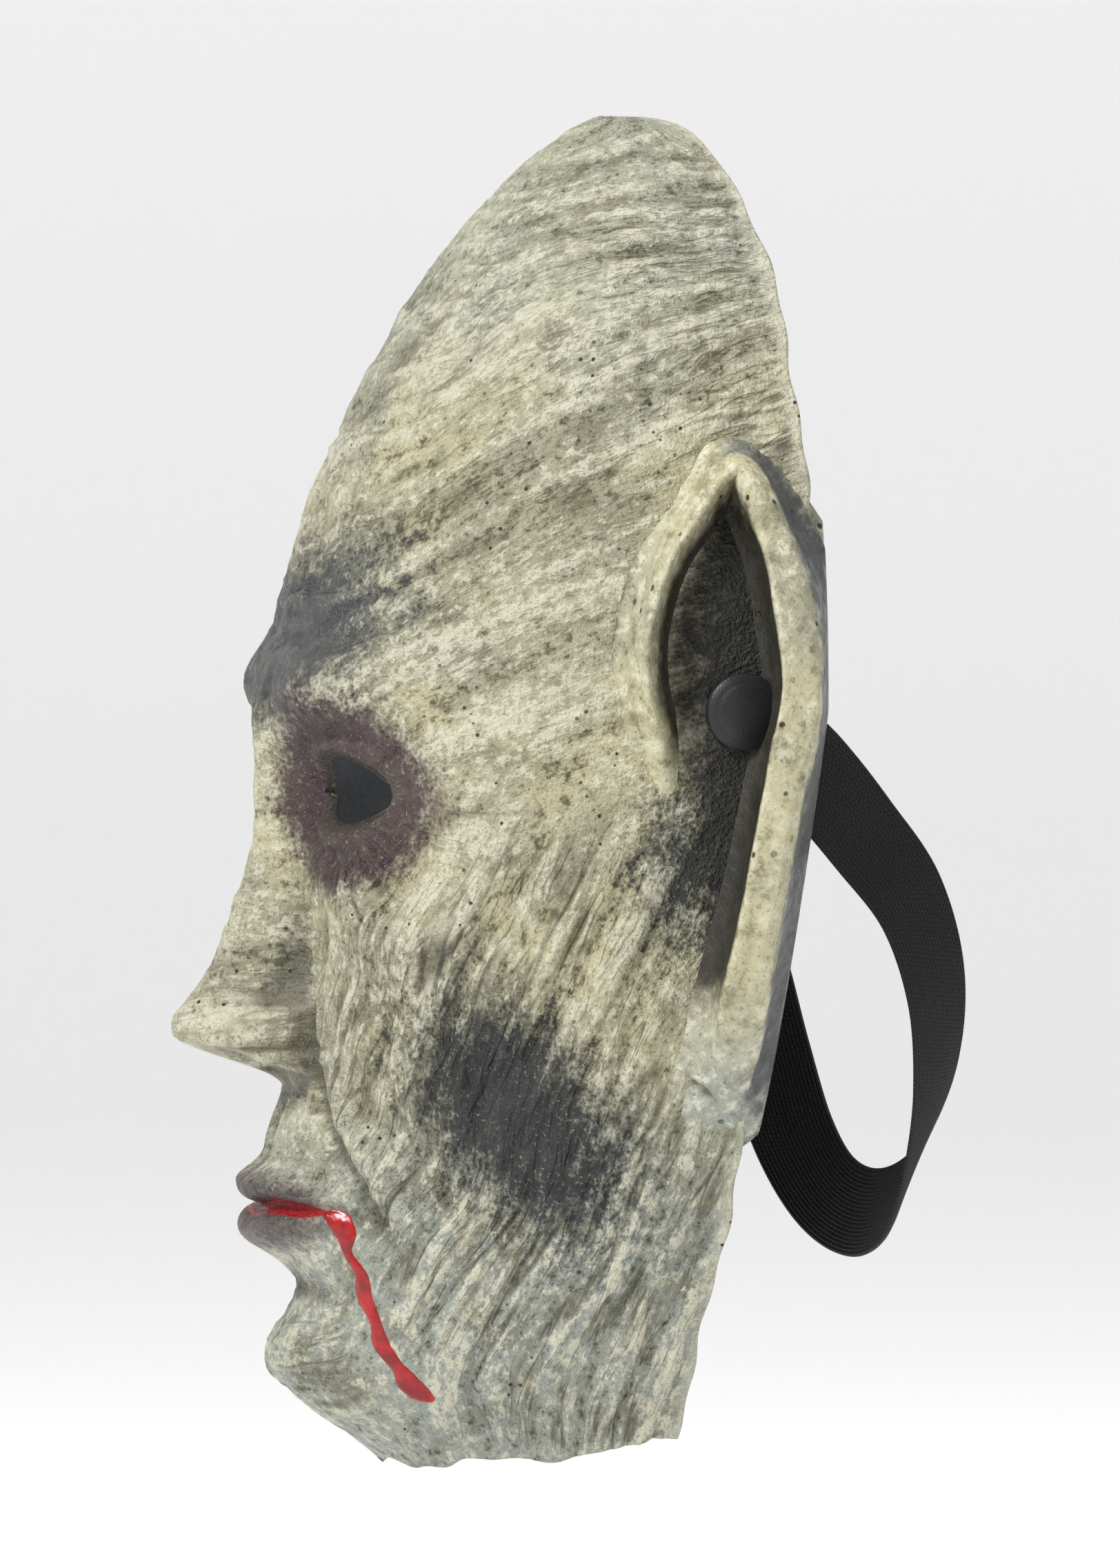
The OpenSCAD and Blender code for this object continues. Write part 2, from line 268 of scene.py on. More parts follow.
def row_heights():
    """Row heights from chin to crown, closer where the nose, mouth and eyes need them."""
    top = CROWN_H * math.sin(math.radians(88.4))
    z = np.linspace(-CHIN_H, top, 6000)
    dense = 1 + 1.9 * bell(z, NOSE_Z, 5) + 1.5 * bell(z, MOUTH_Z, 8) + 0.6 * bell(z, EYE_Z, 11)
    dense *= np.where(z > 0, 1 / np.sqrt(np.maximum(1 - (z / CROWN_H) ** 2, 1e-4)), 1)
    dense *= 1 + 0.8 * bell(z, -CHIN_H, 8)
    total = np.cumsum(dense)
    total = (total - total[0]) / (total[-1] - total[0])
    rows = np.interp(np.linspace(0, 1, ROWS + 1), total, z)
    k = 2 * round(float(np.argmin(np.abs(rows - EYE_Z))) / 2)
    shift = (EYE_Z - rows[k]) * bell(rows, rows[k], 12)
    return rows + shift, k


ROW_Z, EYE_ROW = row_heights()
GRID_T = np.tile(column_share(np.arange(COLUMNS + 1)), (ROWS + 1, 1))
GRID_Z = np.tile(ROW_Z[:, None], (1, COLUMNS + 1))


def eye_columns(side):
    """First and last column of the eye slit on one side, both even."""
    x, _ = head_point(GRID_T[EYE_ROW], GRID_Z[EYE_ROW])
    ends = [side * EYE_X - EYE_LEN / 2, side * EYE_X + EYE_LEN / 2]
    return [2 * round(float(np.argmin(np.abs(x - e))) / 2) for e in ends]


EYE_SLITS = [eye_columns(-1), eye_columns(1)]
LID_REACH = 17.0


def lid_share(x):
    """Position along the eye hole, 0 at the middle and 1 at both corners; over 1 outside it."""
    x_row, _ = head_point(GRID_T[EYE_ROW], GRID_Z[EYE_ROW])
    inner, outer = sorted(abs(float(x_row[c])) for c in EYE_SLITS[1])
    return (np.abs(x) - (inner + outer) / 2) / ((outer - inner) / 2)


def open_lids(x, z, lower_row):
    """Heights moved apart, so that the slit becomes an almond hole, the gap to its edge and the lid share."""
    s = lid_share(x)
    up = EYE_H * 0.54 * np.maximum(0, 1 - (s + 0.10 * (1 - s**2)) ** 2)
    low = EYE_H * 0.43 * np.maximum(0, 1 - (s - 0.06 * (1 - s**2)) ** 2)
    dz = z - EYE_Z
    above = (dz > 1e-6) | ((np.abs(dz) <= 1e-6) & ~lower_row)
    h = np.where(above, up, low)
    near = np.minimum(np.abs(dz) / LID_REACH, 1)
    gap = np.abs(dz) * (1 - h / LID_REACH)
    moved = EYE_Z + np.where(above, 1, -1) * (h * (1 - near) + np.abs(dz))
    inside = np.clip(1 - np.abs(s), 0, 1)
    return moved, gap, ramp(inside, 0, 0.2)


def bottom_edge(t, z):
    """The cut under the chin: a little lower at the front, rising to the jaw corners."""
    near = ramp(-z, CHIN_H - 14, CHIN_H)
    return z + near * (7 * np.abs(t) ** 2.2 + 0.9 * np.sin(t * 15) + 0.4 * np.sin(t * 41 + 1))


def rear_edge(t, y, z):
    """The hand-cut rear edge wavers a little."""
    near = ramp(np.abs(t), 0.93, 1)
    return y + near * (0.5 * np.sin(z * 0.16) + 0.35 * np.sin(z * 0.41 + 1.3))


def skin_points(t, z, lower_row, rolled=True):
    """Points of the painted surface in mm, and the gap to the nearest lid edge."""
    x, _ = head_point(t, z)
    lid_z, gap, lid = open_lids(x, z, lower_row)
    cut_z = bottom_edge(t, lid_z)
    x, y = head_point(t, cut_z)
    front = ramp(1 - np.abs(t), 0.02, 0.25)
    y = rear_edge(t, y - push(x, cut_z) * front, cut_z)
    if rolled:
        y = y + 2.4 * lid * np.exp(-((gap / 1.5) ** 2))
    points = np.stack([x, y, cut_z], axis=-1)
    return nostrils(points, z) if rolled else points, gap, lid


def nostrils(points, z):
    """Presses a nostril up into each side of the nose's underside and rounds the wings."""
    x, y = points[..., 0], points[..., 1]
    ax, side = np.abs(x), np.sign(x)
    tip_y = float(front_y(np.array(NOSE_Z))) - 24
    hole = np.exp(-((((ax - 7.2) / 3.6) ** 2 + ((y - tip_y - 13) / 6.4) ** 2) ** 1.6))
    under = ramp(NOSE_Z + 3.6 - z, 0, 1.6) * ramp(z, NOSE_Z - 9, NOSE_Z - 5)
    out = points.copy()
    out[..., 2] += 5.5 * hole * under
    wing = bell(ax, 13, 6) * bell(z, NOSE_Z + 6, 6) * ramp(-y, -tip_y - 30, -tip_y - 8)
    out[..., 0] += 2.4 * side * wing
    return out


def grid_normals(points):
    across = np.gradient(points, axis=1)
    up = np.gradient(points, axis=0)
    return unit_rows(np.cross(across, up))


def shell_mesh(name, outer, outer_low, inner, inner_low, peak, peak_in):
    """One closed shell: a fine outside, an inside at half the density, and edges that join them."""
    fine = outer.shape[:2]
    coarse = inner.shape[:2]
    n_fine = fine[0] * fine[1]
    n_coarse = coarse[0] * coarse[1]
    verts = [outer.reshape(-1, 3), inner.reshape(-1, 3)]
    low_fine = {}
    low_coarse = {}
    extra_f, extra_c = [], []
    for a, b in EYE_SLITS:
        for i in range(a + 1, b):
            low_fine[i] = n_fine + n_coarse + len(extra_f)
            extra_f.append(outer_low[EYE_ROW, i])
    base = n_fine + n_coarse + len(extra_f)
    for a, b in EYE_SLITS:
        for i in range(a // 2 + 1, b // 2):
            low_coarse[i] = base + len(extra_c)
            extra_c.append(inner_low[EYE_ROW // 2, i])
    verts += [np.array(extra_f), np.array(extra_c), np.array([peak, peak_in])]
    pole = base + len(extra_c)

    def f(i, k, below=False):
        return low_fine[i] if below and k == EYE_ROW and i in low_fine else k * fine[1] + i

    def c(i, k, below=False):
        if below and k == EYE_ROW // 2 and i in low_coarse:
            return low_coarse[i]
        return n_fine + k * coarse[1] + i

    faces, slots = [], []
    for k in range(fine[0] - 1):
        for i in range(fine[1] - 1):
            faces.append((f(i, k), f(i + 1, k), f(i + 1, k + 1, True), f(i, k + 1, True)))
    slots += [0] * len(faces)
    start = len(faces)
    for k in range(coarse[0] - 1):
        for i in range(coarse[1] - 1):
            faces.append((c(i, k), c(i, k + 1, True), c(i + 1, k + 1, True), c(i + 1, k)))
    top, top_c = fine[0] - 1, coarse[0] - 1
    for i in range(coarse[1] - 1):
        faces.append((c(i, top_c), pole + 1, c(i + 1, top_c)))
    slots += [1] * (len(faces) - start)
    for i in range(fine[1] - 1):
        faces.append((f(i, top), f(i + 1, top), pole))
    slots += [0] * (fine[1] - 1)

    def join(line_f, line_c):
        """Faces between an outside edge line and an inside one with half its points."""
        for j in range(len(line_c) - 1):
            f0, f1, f2 = line_f[2 * j: 2 * j + 3]
            faces.extend([(f0, line_c[j], f1), (f1, line_c[j], line_c[j + 1]), (f1, line_c[j + 1], f2)])
            slots.extend([2, 2, 2])

    join([f(i, 0) for i in range(fine[1])], [c(i, 0) for i in range(coarse[1])])
    join([f(0, k) for k in range(top, -1, -1)], [c(0, k) for k in range(top_c, -1, -1)])
    join([f(fine[1] - 1, k) for k in range(top + 1)], [c(coarse[1] - 1, k) for k in range(top_c + 1)])
    left_f, left_c = f(0, top), c(0, top_c)
    right_f, right_c = f(fine[1] - 1, top), c(coarse[1] - 1, top_c)
    faces += [(left_f, pole, pole + 1), (left_f, pole + 1, left_c)]
    faces += [(right_f, right_c, pole + 1), (right_f, pole + 1, pole)]
    slots += [2] * 4
    for a, b in EYE_SLITS:
        join([f(i, EYE_ROW) for i in range(a, b + 1)],
             [c(i, EYE_ROW // 2) for i in range(a // 2, b // 2 + 1)])
        join([f(i, EYE_ROW, True) for i in range(b, a - 1, -1)],
             [c(i, EYE_ROW // 2, True) for i in range(b // 2, a // 2 - 1, -1)])
    return new_mesh(name, np.concatenate(verts), faces, slots), n_fine, low_fine


def new_mesh(name, points_mm, faces, slots=None):
    mesh = bpy.data.meshes.new(name)
    mesh.from_pydata((np.asarray(points_mm) * MM).tolist(), [], faces)
    if slots is not None:
        mesh.polygons.foreach_set("material_index", slots)
    mesh.polygons.foreach_set("use_smooth", [True] * len(mesh.polygons))
    mesh.update()
    obj = bpy.data.objects.new(name, mesh)
    bpy.context.scene.collection.objects.link(obj)
    return obj


# ---------------------------------------------------------------- node helpers
def add(tree, kind, inputs=None, **settings):
    """A node with its settings and inputs; an input is a value or the socket that feeds it."""
    node = tree.nodes.new(kind)
    for name, value in settings.items():
        setattr(node, name, value)
    for key, value in (inputs or {}).items():
        if isinstance(value, bpy.types.NodeSocket):
            tree.links.new(value, node.inputs[key])
        else:
            node.inputs[key].default_value = value
    return node


def maths(tree, operation, a, b=0.0, clamp=False):
    return add(tree, "ShaderNodeMath", {0: a, 1: b}, operation=operation, use_clamp=clamp).outputs[0]


def times(tree, a, b):
    return maths(tree, "MULTIPLY", a, b)


def plus(tree, a, b):
    return maths(tree, "ADD", a, b)


def minus(tree, a, b):
    return maths(tree, "SUBTRACT", a, b)


def scaled(tree, vector, scale):
    return add(tree, "ShaderNodeVectorMath", {0: vector, 1: scale}, operation="MULTIPLY").outputs[0]


def noise_at(tree, vector, scale, detail=2.0, roughness=0.5, distortion=0.0):
    """Noise value of either tree kind, about 0.5 on average."""
    values = {"Vector": vector, "Scale": scale, "Detail": detail}
    values.update({"Roughness": roughness, "Distortion": distortion})
    return add(tree, "ShaderNodeTexNoise", values, noise_dimensions="3D").outputs[0]


def ramped(tree, value, low, high, to_low=0.0, to_high=1.0):
    values = {0: value, 1: low, 2: high, 3: to_low, 4: to_high}
    return add(tree, "ShaderNodeMapRange", values, interpolation_type="SMOOTHSTEP").outputs[0]


def valleys(tree, flow, stretch, width, detail, distortion=0.35):
    """Creases along the flow: 1 at the floor of a crease and 0 beside it."""
    wave = noise_at(tree, scaled(tree, flow, stretch), 1.0, detail, 0.55, distortion)
    offset = maths(tree, "ABSOLUTE", minus(tree, wave, 0.5))
    return maths(tree, "POWER", ramped(tree, offset, 0.0, width, 1.0, 0.0), 1.4)


def blended(tree, a, b, share):
    """a where share is 0 and b where it is 1."""
    kept = times(tree, a, minus(tree, 1.0, share))
    return plus(tree, kept, times(tree, b, share))


def long_valleys(tree, flow):
    """A few creases that run on for a hand's breadth."""
    few = ramped(tree, noise_at(tree, scaled(tree, flow, (0.05, 0.012, 0.03)), 1.0, 1.0), 0.42, 0.54)
    return times(tree, valleys(tree, flow, (0.080, 0.0070, 0.01), 0.06, 1.5, 0.4), few)


def all_valleys(tree, read, fine):
    """Creases of crown, jaw and eye corners blended by where they lie; fine ones lie closer together."""
    k = 2.4 if fine else 1.0
    width = 0.07 if fine else 0.085
    crown = valleys(tree, read("crown_flow"), (0.100 * k, 0.024 * k, 0.02), width, 2.0, 0.6)
    jaw = valleys(tree, read("jaw_flow"), (0.100 * k, 0.020 * k, 0.02), width, 2.0, 0.6)
    eye = valleys(tree, read("eye_flow"), (0.13 * k, 0.03 * k, 0.02), width, 2.0, 0.3)
    if not fine:
        crown = maths(tree, "MAXIMUM", times(tree, crown, 0.7), long_valleys(tree, read("crown_flow")))
        jaw = maths(tree, "MAXIMUM", times(tree, jaw, 0.6), long_valleys(tree, read("jaw_flow")))
    sides = blended(tree, crown, jaw, read("jaw_share"))
    return times(tree, blended(tree, sides, eye, read("eye_share")), read("crease_share"))


def soft_folds(tree, read):
    """Rounded folds about a finger's breadth apart, from -0.5 to 0.5."""
    crown = noise_at(tree, scaled(tree, read("crown_flow"), (0.15, 0.020, 0.01)), 1.0, 1.5, 0.5, 0.5)
    jaw = noise_at(tree, scaled(tree, read("jaw_flow"), (0.16, 0.016, 0.01)), 1.0, 1.5, 0.5, 0.5)
    return minus(tree, blended(tree, crown, jaw, read("jaw_share")), 0.5)


# ---------------------------------------------------------------- relief of the latex, in Geometry Nodes
def new_tree(name, numbers, material):
    """A tree that takes a mesh, numbers and a material; with its input node and a reader of attributes."""
    tree = bpy.data.node_groups.new(name, "GeometryNodeTree")
    face = tree.interface
    face.new_socket("Geometry", in_out="INPUT", socket_type="NodeSocketGeometry")
    for number in numbers:
        face.new_socket(number, in_out="INPUT", socket_type="NodeSocketFloat")
    face.new_socket(material, in_out="INPUT", socket_type="NodeSocketMaterial")
    face.new_socket("Geometry", in_out="OUTPUT", socket_type="NodeSocketGeometry")

    def read(key):
        kind = "FLOAT_VECTOR" if key.endswith(("flow", "way")) else "FLOAT"
        node = add(tree, "GeometryNodeInputNamedAttribute", {"Name": key}, data_type=kind)
        return node.outputs["Attribute"]

    return tree, add(tree, "NodeGroupInput"), read


def along_vector(tree, vector, length):
    return add(tree, "ShaderNodeVectorMath", {0: vector, "Scale": length}, operation="SCALE").outputs[0]


def end_tree(tree, start, move, material):
    """Moves the points, hands over the material and closes the tree; returns the material's node."""
    moved = add(tree, "GeometryNodeSetPosition", {"Geometry": start.outputs["Geometry"], "Offset": move})
    real = add(tree, "GeometryNodeRealizeInstances", {"Geometry": moved.outputs[0]})
    values = {"Geometry": real.outputs[0], "Material": start.outputs[material]}
    painted = add(tree, "GeometryNodeSetMaterial", values)
    end = add(tree, "NodeGroupOutput")
    tree.links.new(painted.outputs[0], end.inputs[0])
    return painted


def relief_tree():
    """Presses creases, lumps and grain into the outside of a latex piece."""
    tree, start, read = new_tree("latex_relief", ("Crease depth", "Lump height", "Grain height"), "Paint")
    place = add(tree, "GeometryNodeInputPosition").outputs[0]
    deep = times(tree, all_valleys(tree, read, False), -1.0)
    patchy = ramped(tree, noise_at(tree, place, 28.0, 1.0), 0.36, 0.62, 0.15, 1.0)
    deep = times(tree, times(tree, deep, patchy), start.outputs["Crease depth"])
    lump = minus(tree, noise_at(tree, place, 75.0, 2.0), 0.5)
    fold = times(tree, soft_folds(tree, read), read("crease_share"))
    lump = plus(tree, times(tree, lump, 0.6), times(tree, fold, 1.5))
    lump = times(tree, lump, start.outputs["Lump height"])
    grain = minus(tree, noise_at(tree, place, 420.0, 2.0), 0.5)
    grain = times(tree, grain, start.outputs["Grain height"])
    height = plus(tree, plus(tree, deep, lump), grain)
    height = times(tree, height, read("relief_share"))
    normal = add(tree, "GeometryNodeInputNormal").outputs[0]
    painted = end_tree(tree, start, along_vector(tree, normal, height), "Paint")
    values = {0: read("outside"), 1: 0.2}
    outside = add(tree, "FunctionNodeCompare", values, data_type="FLOAT", operation="GREATER_THAN")
    tree.links.new(outside.outputs[0], painted.inputs["Selection"])
    return tree


def apply_tree(obj, tree, values):
    """Runs a node tree on obj and keeps the result as its plain mesh."""
    modifier = obj.modifiers.new("nodes", "NODES")
    modifier.node_group = tree
    for item in tree.interface.items_tree:
        if item.in_out == "INPUT" and item.name in values:
            modifier[item.identifier] = values[item.name]
    graph = bpy.context.evaluated_depsgraph_get()
    made = bpy.data.meshes.new_from_object(obj.evaluated_get(graph), depsgraph=graph)
    obj.modifiers.remove(modifier)
    old = obj.data
    obj.data = made
    bpy.data.meshes.remove(old)
    made.name = obj.name
    return obj


def store(mesh, name, values, kind="FLOAT"):
    """Writes one attribute to all points of a mesh."""
    layer = mesh.attributes.new(name, kind, "POINT")
    key = "vector" if kind == "FLOAT_VECTOR" else "value"
    layer.data.foreach_set(key, np.ascontiguousarray(values, dtype=np.float32).ravel())


# ---------------------------------------------------------------- the ear's outline, shared by ear and skin
# depth, height, how far the rim stands out as a share of EAR_OUT, width of the rim
EAR_ROWS = np.array([
    [-1, 50, 0.40, 5.5], [-9, 41, 0.34, 4.6], [-16, 30, 0.38, 4.2], [-20, 16, 0.42, 4.2], [-20, 3, 0.36, 4.6],
    [-17, -8, 0.20, 5.4], [-14, -24, 0.03, 7], [-11, -44, 0.02, 8], [-10, -62, 0.03, 8], [-10, -74, 0.05, 8],
    [-5, -80, 0.20, 9], [-1, -71, 0.52, 9.5], [2, -56, 0.80, 9.5], [6, -37, 0.95, 9], [10, -16, 1.00, 8.8],
    [13.9, 4, 1.00, 8.8], [11.5, 23, 0.92, 8.5], [6, 38, 0.66, 7]])
EAR_RINGS = 306


def ear_line(rings):
    """Closed smooth curve through the ear rows."""
    count = len(EAR_ROWS)
    r = np.arange(rings) * count / rings
    k = np.floor(r).astype(int)
    f = (r - k)[:, None]
    return spline(*(EAR_ROWS[(k + j) % count] for j in (-1, 0, 1, 2)), f)


def shell_x(y, z):
    """How far out the shell's side lies at a depth and height."""
    n = squareness(z)
    reach = np.clip((rear_y(z) - y) / (rear_y(z) - front_y(z)), 0, 1)
    return side_w(z) * np.maximum(0.01, 1 - reach**n) ** (1 / n)


def ear_depth(y, z):
    """Signed distance in mm to the middle of the ear's rim, positive inside the ear."""
    line = ear_line(120)[:, :2]
    flat = np.stack([y.ravel(), z.ravel()], axis=-1)
    near = np.full(len(flat), 1e9)
    odd = np.zeros(len(flat), bool)
    for a, b in zip(line, np.roll(line, -1, axis=0)):
        along = b - a
        share = np.clip(((flat - a) @ along) / (along @ along), 0, 1)
        near = np.minimum(near, np.linalg.norm(flat - a - share[:, None] * along, axis=1))
        crosses = (a[1] > flat[:, 1]) != (b[1] > flat[:, 1])
        rise = b[1] - a[1] if abs(b[1] - a[1]) > 1e-9 else 1e-9
        odd ^= crosses & (flat[:, 0] < a[0] + (flat[:, 1] - a[1]) / rise * along[0])
    return np.where(odd, near, -near).reshape(y.shape)


# ---------------------------------------------------------------- where relief and paint go on the skin
def skin_attributes(points, gap, lid):
    """Flow directions, paint shares, and the shares of painted shade and painted highlight, for the grid of
    outside points, in mm.
    """
    x, y, z = points[..., 0], points[..., 1], points[..., 2]
    ax, side = np.abs(x), np.sign(x)
    plain = np.stack(head_point(GRID_T, 0.45 * GRID_Z), axis=-1)
    step = np.linalg.norm(np.diff(plain, axis=1), axis=-1)
    arc = np.concatenate([np.zeros((len(step), 1)), np.cumsum(step, axis=1)], axis=1)
    arc = np.abs(arc - arc[:, COLUMNS // 2: COLUMNS // 2 + 1])
    over_top = 0.9 * (y + 50) * ramp(z, 75, 122)
    crown_flow = np.stack([z - 0.30 * arc + 9 * bell(arc, 40, 30) + over_top, arc + 0.3 * z, x], axis=-1)
    jaw_flow = np.stack([0.9 * arc - 0.45 * z, 0.45 * arc + 0.9 * z, x], axis=-1)
    ex, ez = ax - EYE_X, z - EYE_Z
    radius = np.hypot(ex * 0.85, ez)
    eye_flow = np.stack([np.arctan2(ez, ex) * 24, radius, 40 * side], axis=-1)
    eye_near = ramp(-radius, -34, -20)
    ear = ear_depth(y, z) - 60 * (y < -40)
    snap = np.hypot(y, z)
    on_side = ramp(ax, 45, 62)
    rear = rear_y(z) - y
    relief = ramp(snap, 10, 15) * (1 - 0.9 * ramp(ear, -9, -1) * on_side) * ramp(gap, 0.6, 3)
    relief *= 1 - 0.6 * bell(x, 0, 16) * ramp(-z, -NOSE_Z - 4, -NOSE_Z + 4) * ramp(-z, 125, 118)
    crowded = bell(rear, 6, 22) * ramp(z, -10, 20) + ramp(-z, 8, 40) + bell(x, 0, 46) * ramp(z, 0, 25)
    under_drip = bell(x, 28, 5) * ramp(MOUTH_Z + 4 - z, 0, 4) * ramp(z, MOUTH_Z - 46, MOUTH_Z - 40)
    relief *= 1 - 0.95 * under_drip
    relief *= 1 - 0.6 * bell(x, 0, 17) * ramp(EYE_Z + 10 - z, 0, 12)
    relief *= 1 - 0.45 * bell(x, 0, 34) * ramp(z, 25, 50)
    relief *= 1 - 0.5 * ramp(z, 85, 115)
    level = push(x, z)
    around = (push(x + 5.5, z) + push(x - 5.5, z) + push(x, z + 5.5) + push(x, z - 5.5)) / 4
    dip = (around - level) * ramp(75 - arc, 0, 20)
    lips = np.exp(-((ax / 26.5) ** 6)) * np.exp(-(((z - MOUTH_Z + 0.8) / (9.5 - 5 * (ax / 28) ** 2)) ** 4))
    line_z = MOUTH_Z - 0.8 * bell(x, 0, 7) + 0.8 * bell(ax, 13, 8)
    values = {
        "jaw_share": ramp(-z, 0, 42) * ramp(ax, 10, 40),
        "eye_share": eye_near * ramp(radius, 9, 15),
        "relief_share": relief * (1 - 0.75 * lips) * ramp(rear, 0.5, 4) * ramp(z, -CHIN_H + 1, -CHIN_H + 9),
        "crease_share": np.clip(0.35 + 0.65 * crowded, 0, 1),
        "paint_eye": np.clip(
            1.15 * ramp(-radius, -31, -12) ** 1.2 + 0.5 * bell(ax, 16, 7) * bell(z, EYE_Z, 9), 0, 1),
        # painted shade: darker in the face's hollows, by how far each place lies below its neighbours
        "paint_hollow": ramp(dip, 0.15, 2.1),
        # painted highlight: paler on the face's ridges
        "paint_ridge": ramp(-dip, 0.3, 2.2),
        "paint_lid": lid * bell(gap, 0, 2.2),
        # a charcoal smudge on the cheek, and painted shade in the trough in front of and below the ear
        "paint_smoke": 1.2 * bell(arc, 80, 28) * bell(z + 0.35 * (arc - 80), MOUTH_Z + 21, 26)
        + 0.85 * bell(y, -12, 12) * bell(z, -32, 22) * on_side,
        "paint_slate": 1.2 * np.exp(-((ax / 49) ** 4)) * bell(z - 0.10 * ax, BROW_Z + 14, 19),
        "paint_cool": np.clip(ramp(-z, 62, 112) + 0.5 * ramp(z, 45, 90), 0, 1),
        "paint_lips": lips,
        "paint_blood": np.exp(-((ax / 25.5) ** 8)) * bell(z, line_z - 0.4, 1.7),
        # dark paint and painted shade in the ear's hollow, darkest towards the rear
        "paint_ear": ramp(ear, -2, 8) * on_side * ramp(z, -66, -46) * (0.72 + 0.28 * ramp(y, -16, 2)),
        "paint_edge": bell(rear, 0, 1.6) * ramp(np.abs(z + 18), 34, 50),
        "outside": np.ones_like(x),
    }
    values["paint_eye"] *= 1 - 0.9 * bell(x, 0, 7) * ramp(-z, -EYE_Z, -EYE_Z + 16)
    flows = {"crown_flow": crown_flow, "jaw_flow": jaw_flow, "eye_flow": eye_flow}
    return values, flows


def make_skin(paint, raw):
    """The latex skin: outside, inside and cut edges as one closed mesh, with the attributes its relief and
    paint read.
    """
    upper_row = np.zeros_like(GRID_T, bool)
    upper, gap, lid = skin_points(GRID_T, GRID_Z, upper_row)
    lower = skin_points(GRID_T, GRID_Z, ~upper_row)[0]
    upper, lower = flat_seats(upper), flat_seats(lower)
    plain_up = skin_points(GRID_T, GRID_Z, upper_row, False)[0]
    plain_low = skin_points(GRID_T, GRID_Z, ~upper_row, False)[0]
    inner = room_inside(nostrils(plain_up - WALL_T * grid_normals(plain_up), GRID_Z)[::2, ::2])
    inner_low = room_inside(nostrils(plain_low - WALL_T * grid_normals(plain_low), GRID_Z)[::2, ::2])
    peak = np.array([0, PEAK_Y, CROWN_H])
    peak_in = peak - [0, 1, WALL_T]
    obj, fine, low_points = shell_mesh("latex_skin", upper, lower, inner, inner_low, peak, peak_in)
    total = len(obj.data.vertices)
    values, flows = skin_attributes(upper, gap, lid)
    extra = np.array(sorted(low_points.values()))
    columns = np.array([i for i, _ in sorted(low_points.items(), key=lambda pair: pair[1])])
    for name, grid in values.items():
        data = np.zeros(total)
        data[-2] = grid[-1].mean()
        data[:fine] = grid.ravel()
        data[extra] = grid[EYE_ROW, columns]
        store(obj.data, name, data)
    for name, grid in flows.items():
        data = np.zeros((total, 3))
        data[-2] = grid[-1].mean(axis=0)
        data[:fine] = grid.reshape(-1, 3)
        data[extra] = grid[EYE_ROW, columns]
        store(obj.data, name, data, "FLOAT_VECTOR")
    obj.data.materials.append(paint)
    obj.data.materials.append(raw)
    slots = np.zeros(len(obj.data.polygons), dtype=np.int32)
    obj.data.polygons.foreach_get("material_index", slots)
    obj.data.polygons.foreach_set("material_index", np.minimum(slots, 1).astype(np.int32))
    return obj


def flat_seats(points):
    """Presses the flat that each snap cap sits on into the sides."""
    out = points.copy()
    near = ramp(-np.hypot(out[..., 1], out[..., 2]), -10.5, -8.6)
    level = SEAT_X + (1 - near) * 3
    out[..., 0] = np.clip(out[..., 0], -level, level)
    return out


def room_inside(points):
    """Keeps the inside clear of the patch and of the strap's end as it turns."""
    out = points.copy()
    near = ramp(-np.hypot(out[..., 1], out[..., 2]), -17, -14.2)
    ax = np.abs(out[..., 0])
    wanted = np.where(ax > 50, np.maximum(ax, INNER_X * near + ax * (1 - near)), ax)
    out[..., 0] = np.sign(out[..., 0]) * wanted
    return out


# ---------------------------------------------------------------- paint
CREAM = (0.40, 0.375, 0.235, 1)
GREY = (0.26, 0.255, 0.185, 1)
COOL = (0.24, 0.27, 0.25, 1)
OLIVE = (0.105, 0.092, 0.044, 1)
# dark olive colour, used for the wash and also laid as painted shade in hollows, creases and fold hollows
WASH_AND_SHADE = (0.026, 0.023, 0.015, 1)
PALE = (0.54, 0.52, 0.40, 1)
PLUM = (0.030, 0.012, 0.018, 1)
# charcoal, for the cheek smudge and the painted shade beside the ear
SMUDGE_AND_SHADE = (0.012, 0.014, 0.016, 1)
SLATE = (0.026, 0.031, 0.040, 1)
# near-black, for the ear's hollow: dark paint and painted shade
UMBER_AND_SHADE = (0.009, 0.008, 0.006, 1)
BLOOD = (0.27, 0.004, 0.006, 1)
GRIT_SCALE = 1150.0


def over(tree, below, colour, share):
    """A colour laid over another by a share."""
    values = {0: share, 6: below, 7: colour}
    return add(tree, "ShaderNodeMix", values, data_type="RGBA").outputs[2]


def coat(tree, below, colour, share, strength):
    return over(tree, below, colour, times(tree, share, strength))


def own_place(tree):
    return add(tree, "ShaderNodeTexCoord").outputs["Object"]


def pinholes(tree, place, scale, edge, low, high):
    """Small round pits, in patches."""
    spots = add(tree, "ShaderNodeTexVoronoi", {"Vector": place, "Scale": scale}, feature="F1").outputs[0]
    patches = ramped(tree, noise_at(tree, place, 55.0), low, high)
    return times(tree, ramped(tree, spots, edge, 0.14, 1.0, 0.0), patches)


def reader(tree):
    """Returns a function that reads one of the piece's own attributes in a material."""
    def read(name):
        node = add(tree, "ShaderNodeAttribute", attribute_name=name)
        return node.outputs["Vector" if name.endswith("flow") else "Fac"]
    return read


def plain_material(name, colour, roughness, specular=0.4):
    material = bpy.data.materials.new(name)
    material.use_nodes = True
    shader = material.node_tree.nodes["Principled BSDF"]
    shader.inputs["Base Color"].default_value = colour
    shader.inputs["Roughness"].default_value = roughness
    shader.inputs["Specular IOR Level"].default_value = specular
    return material, material.node_tree, shader


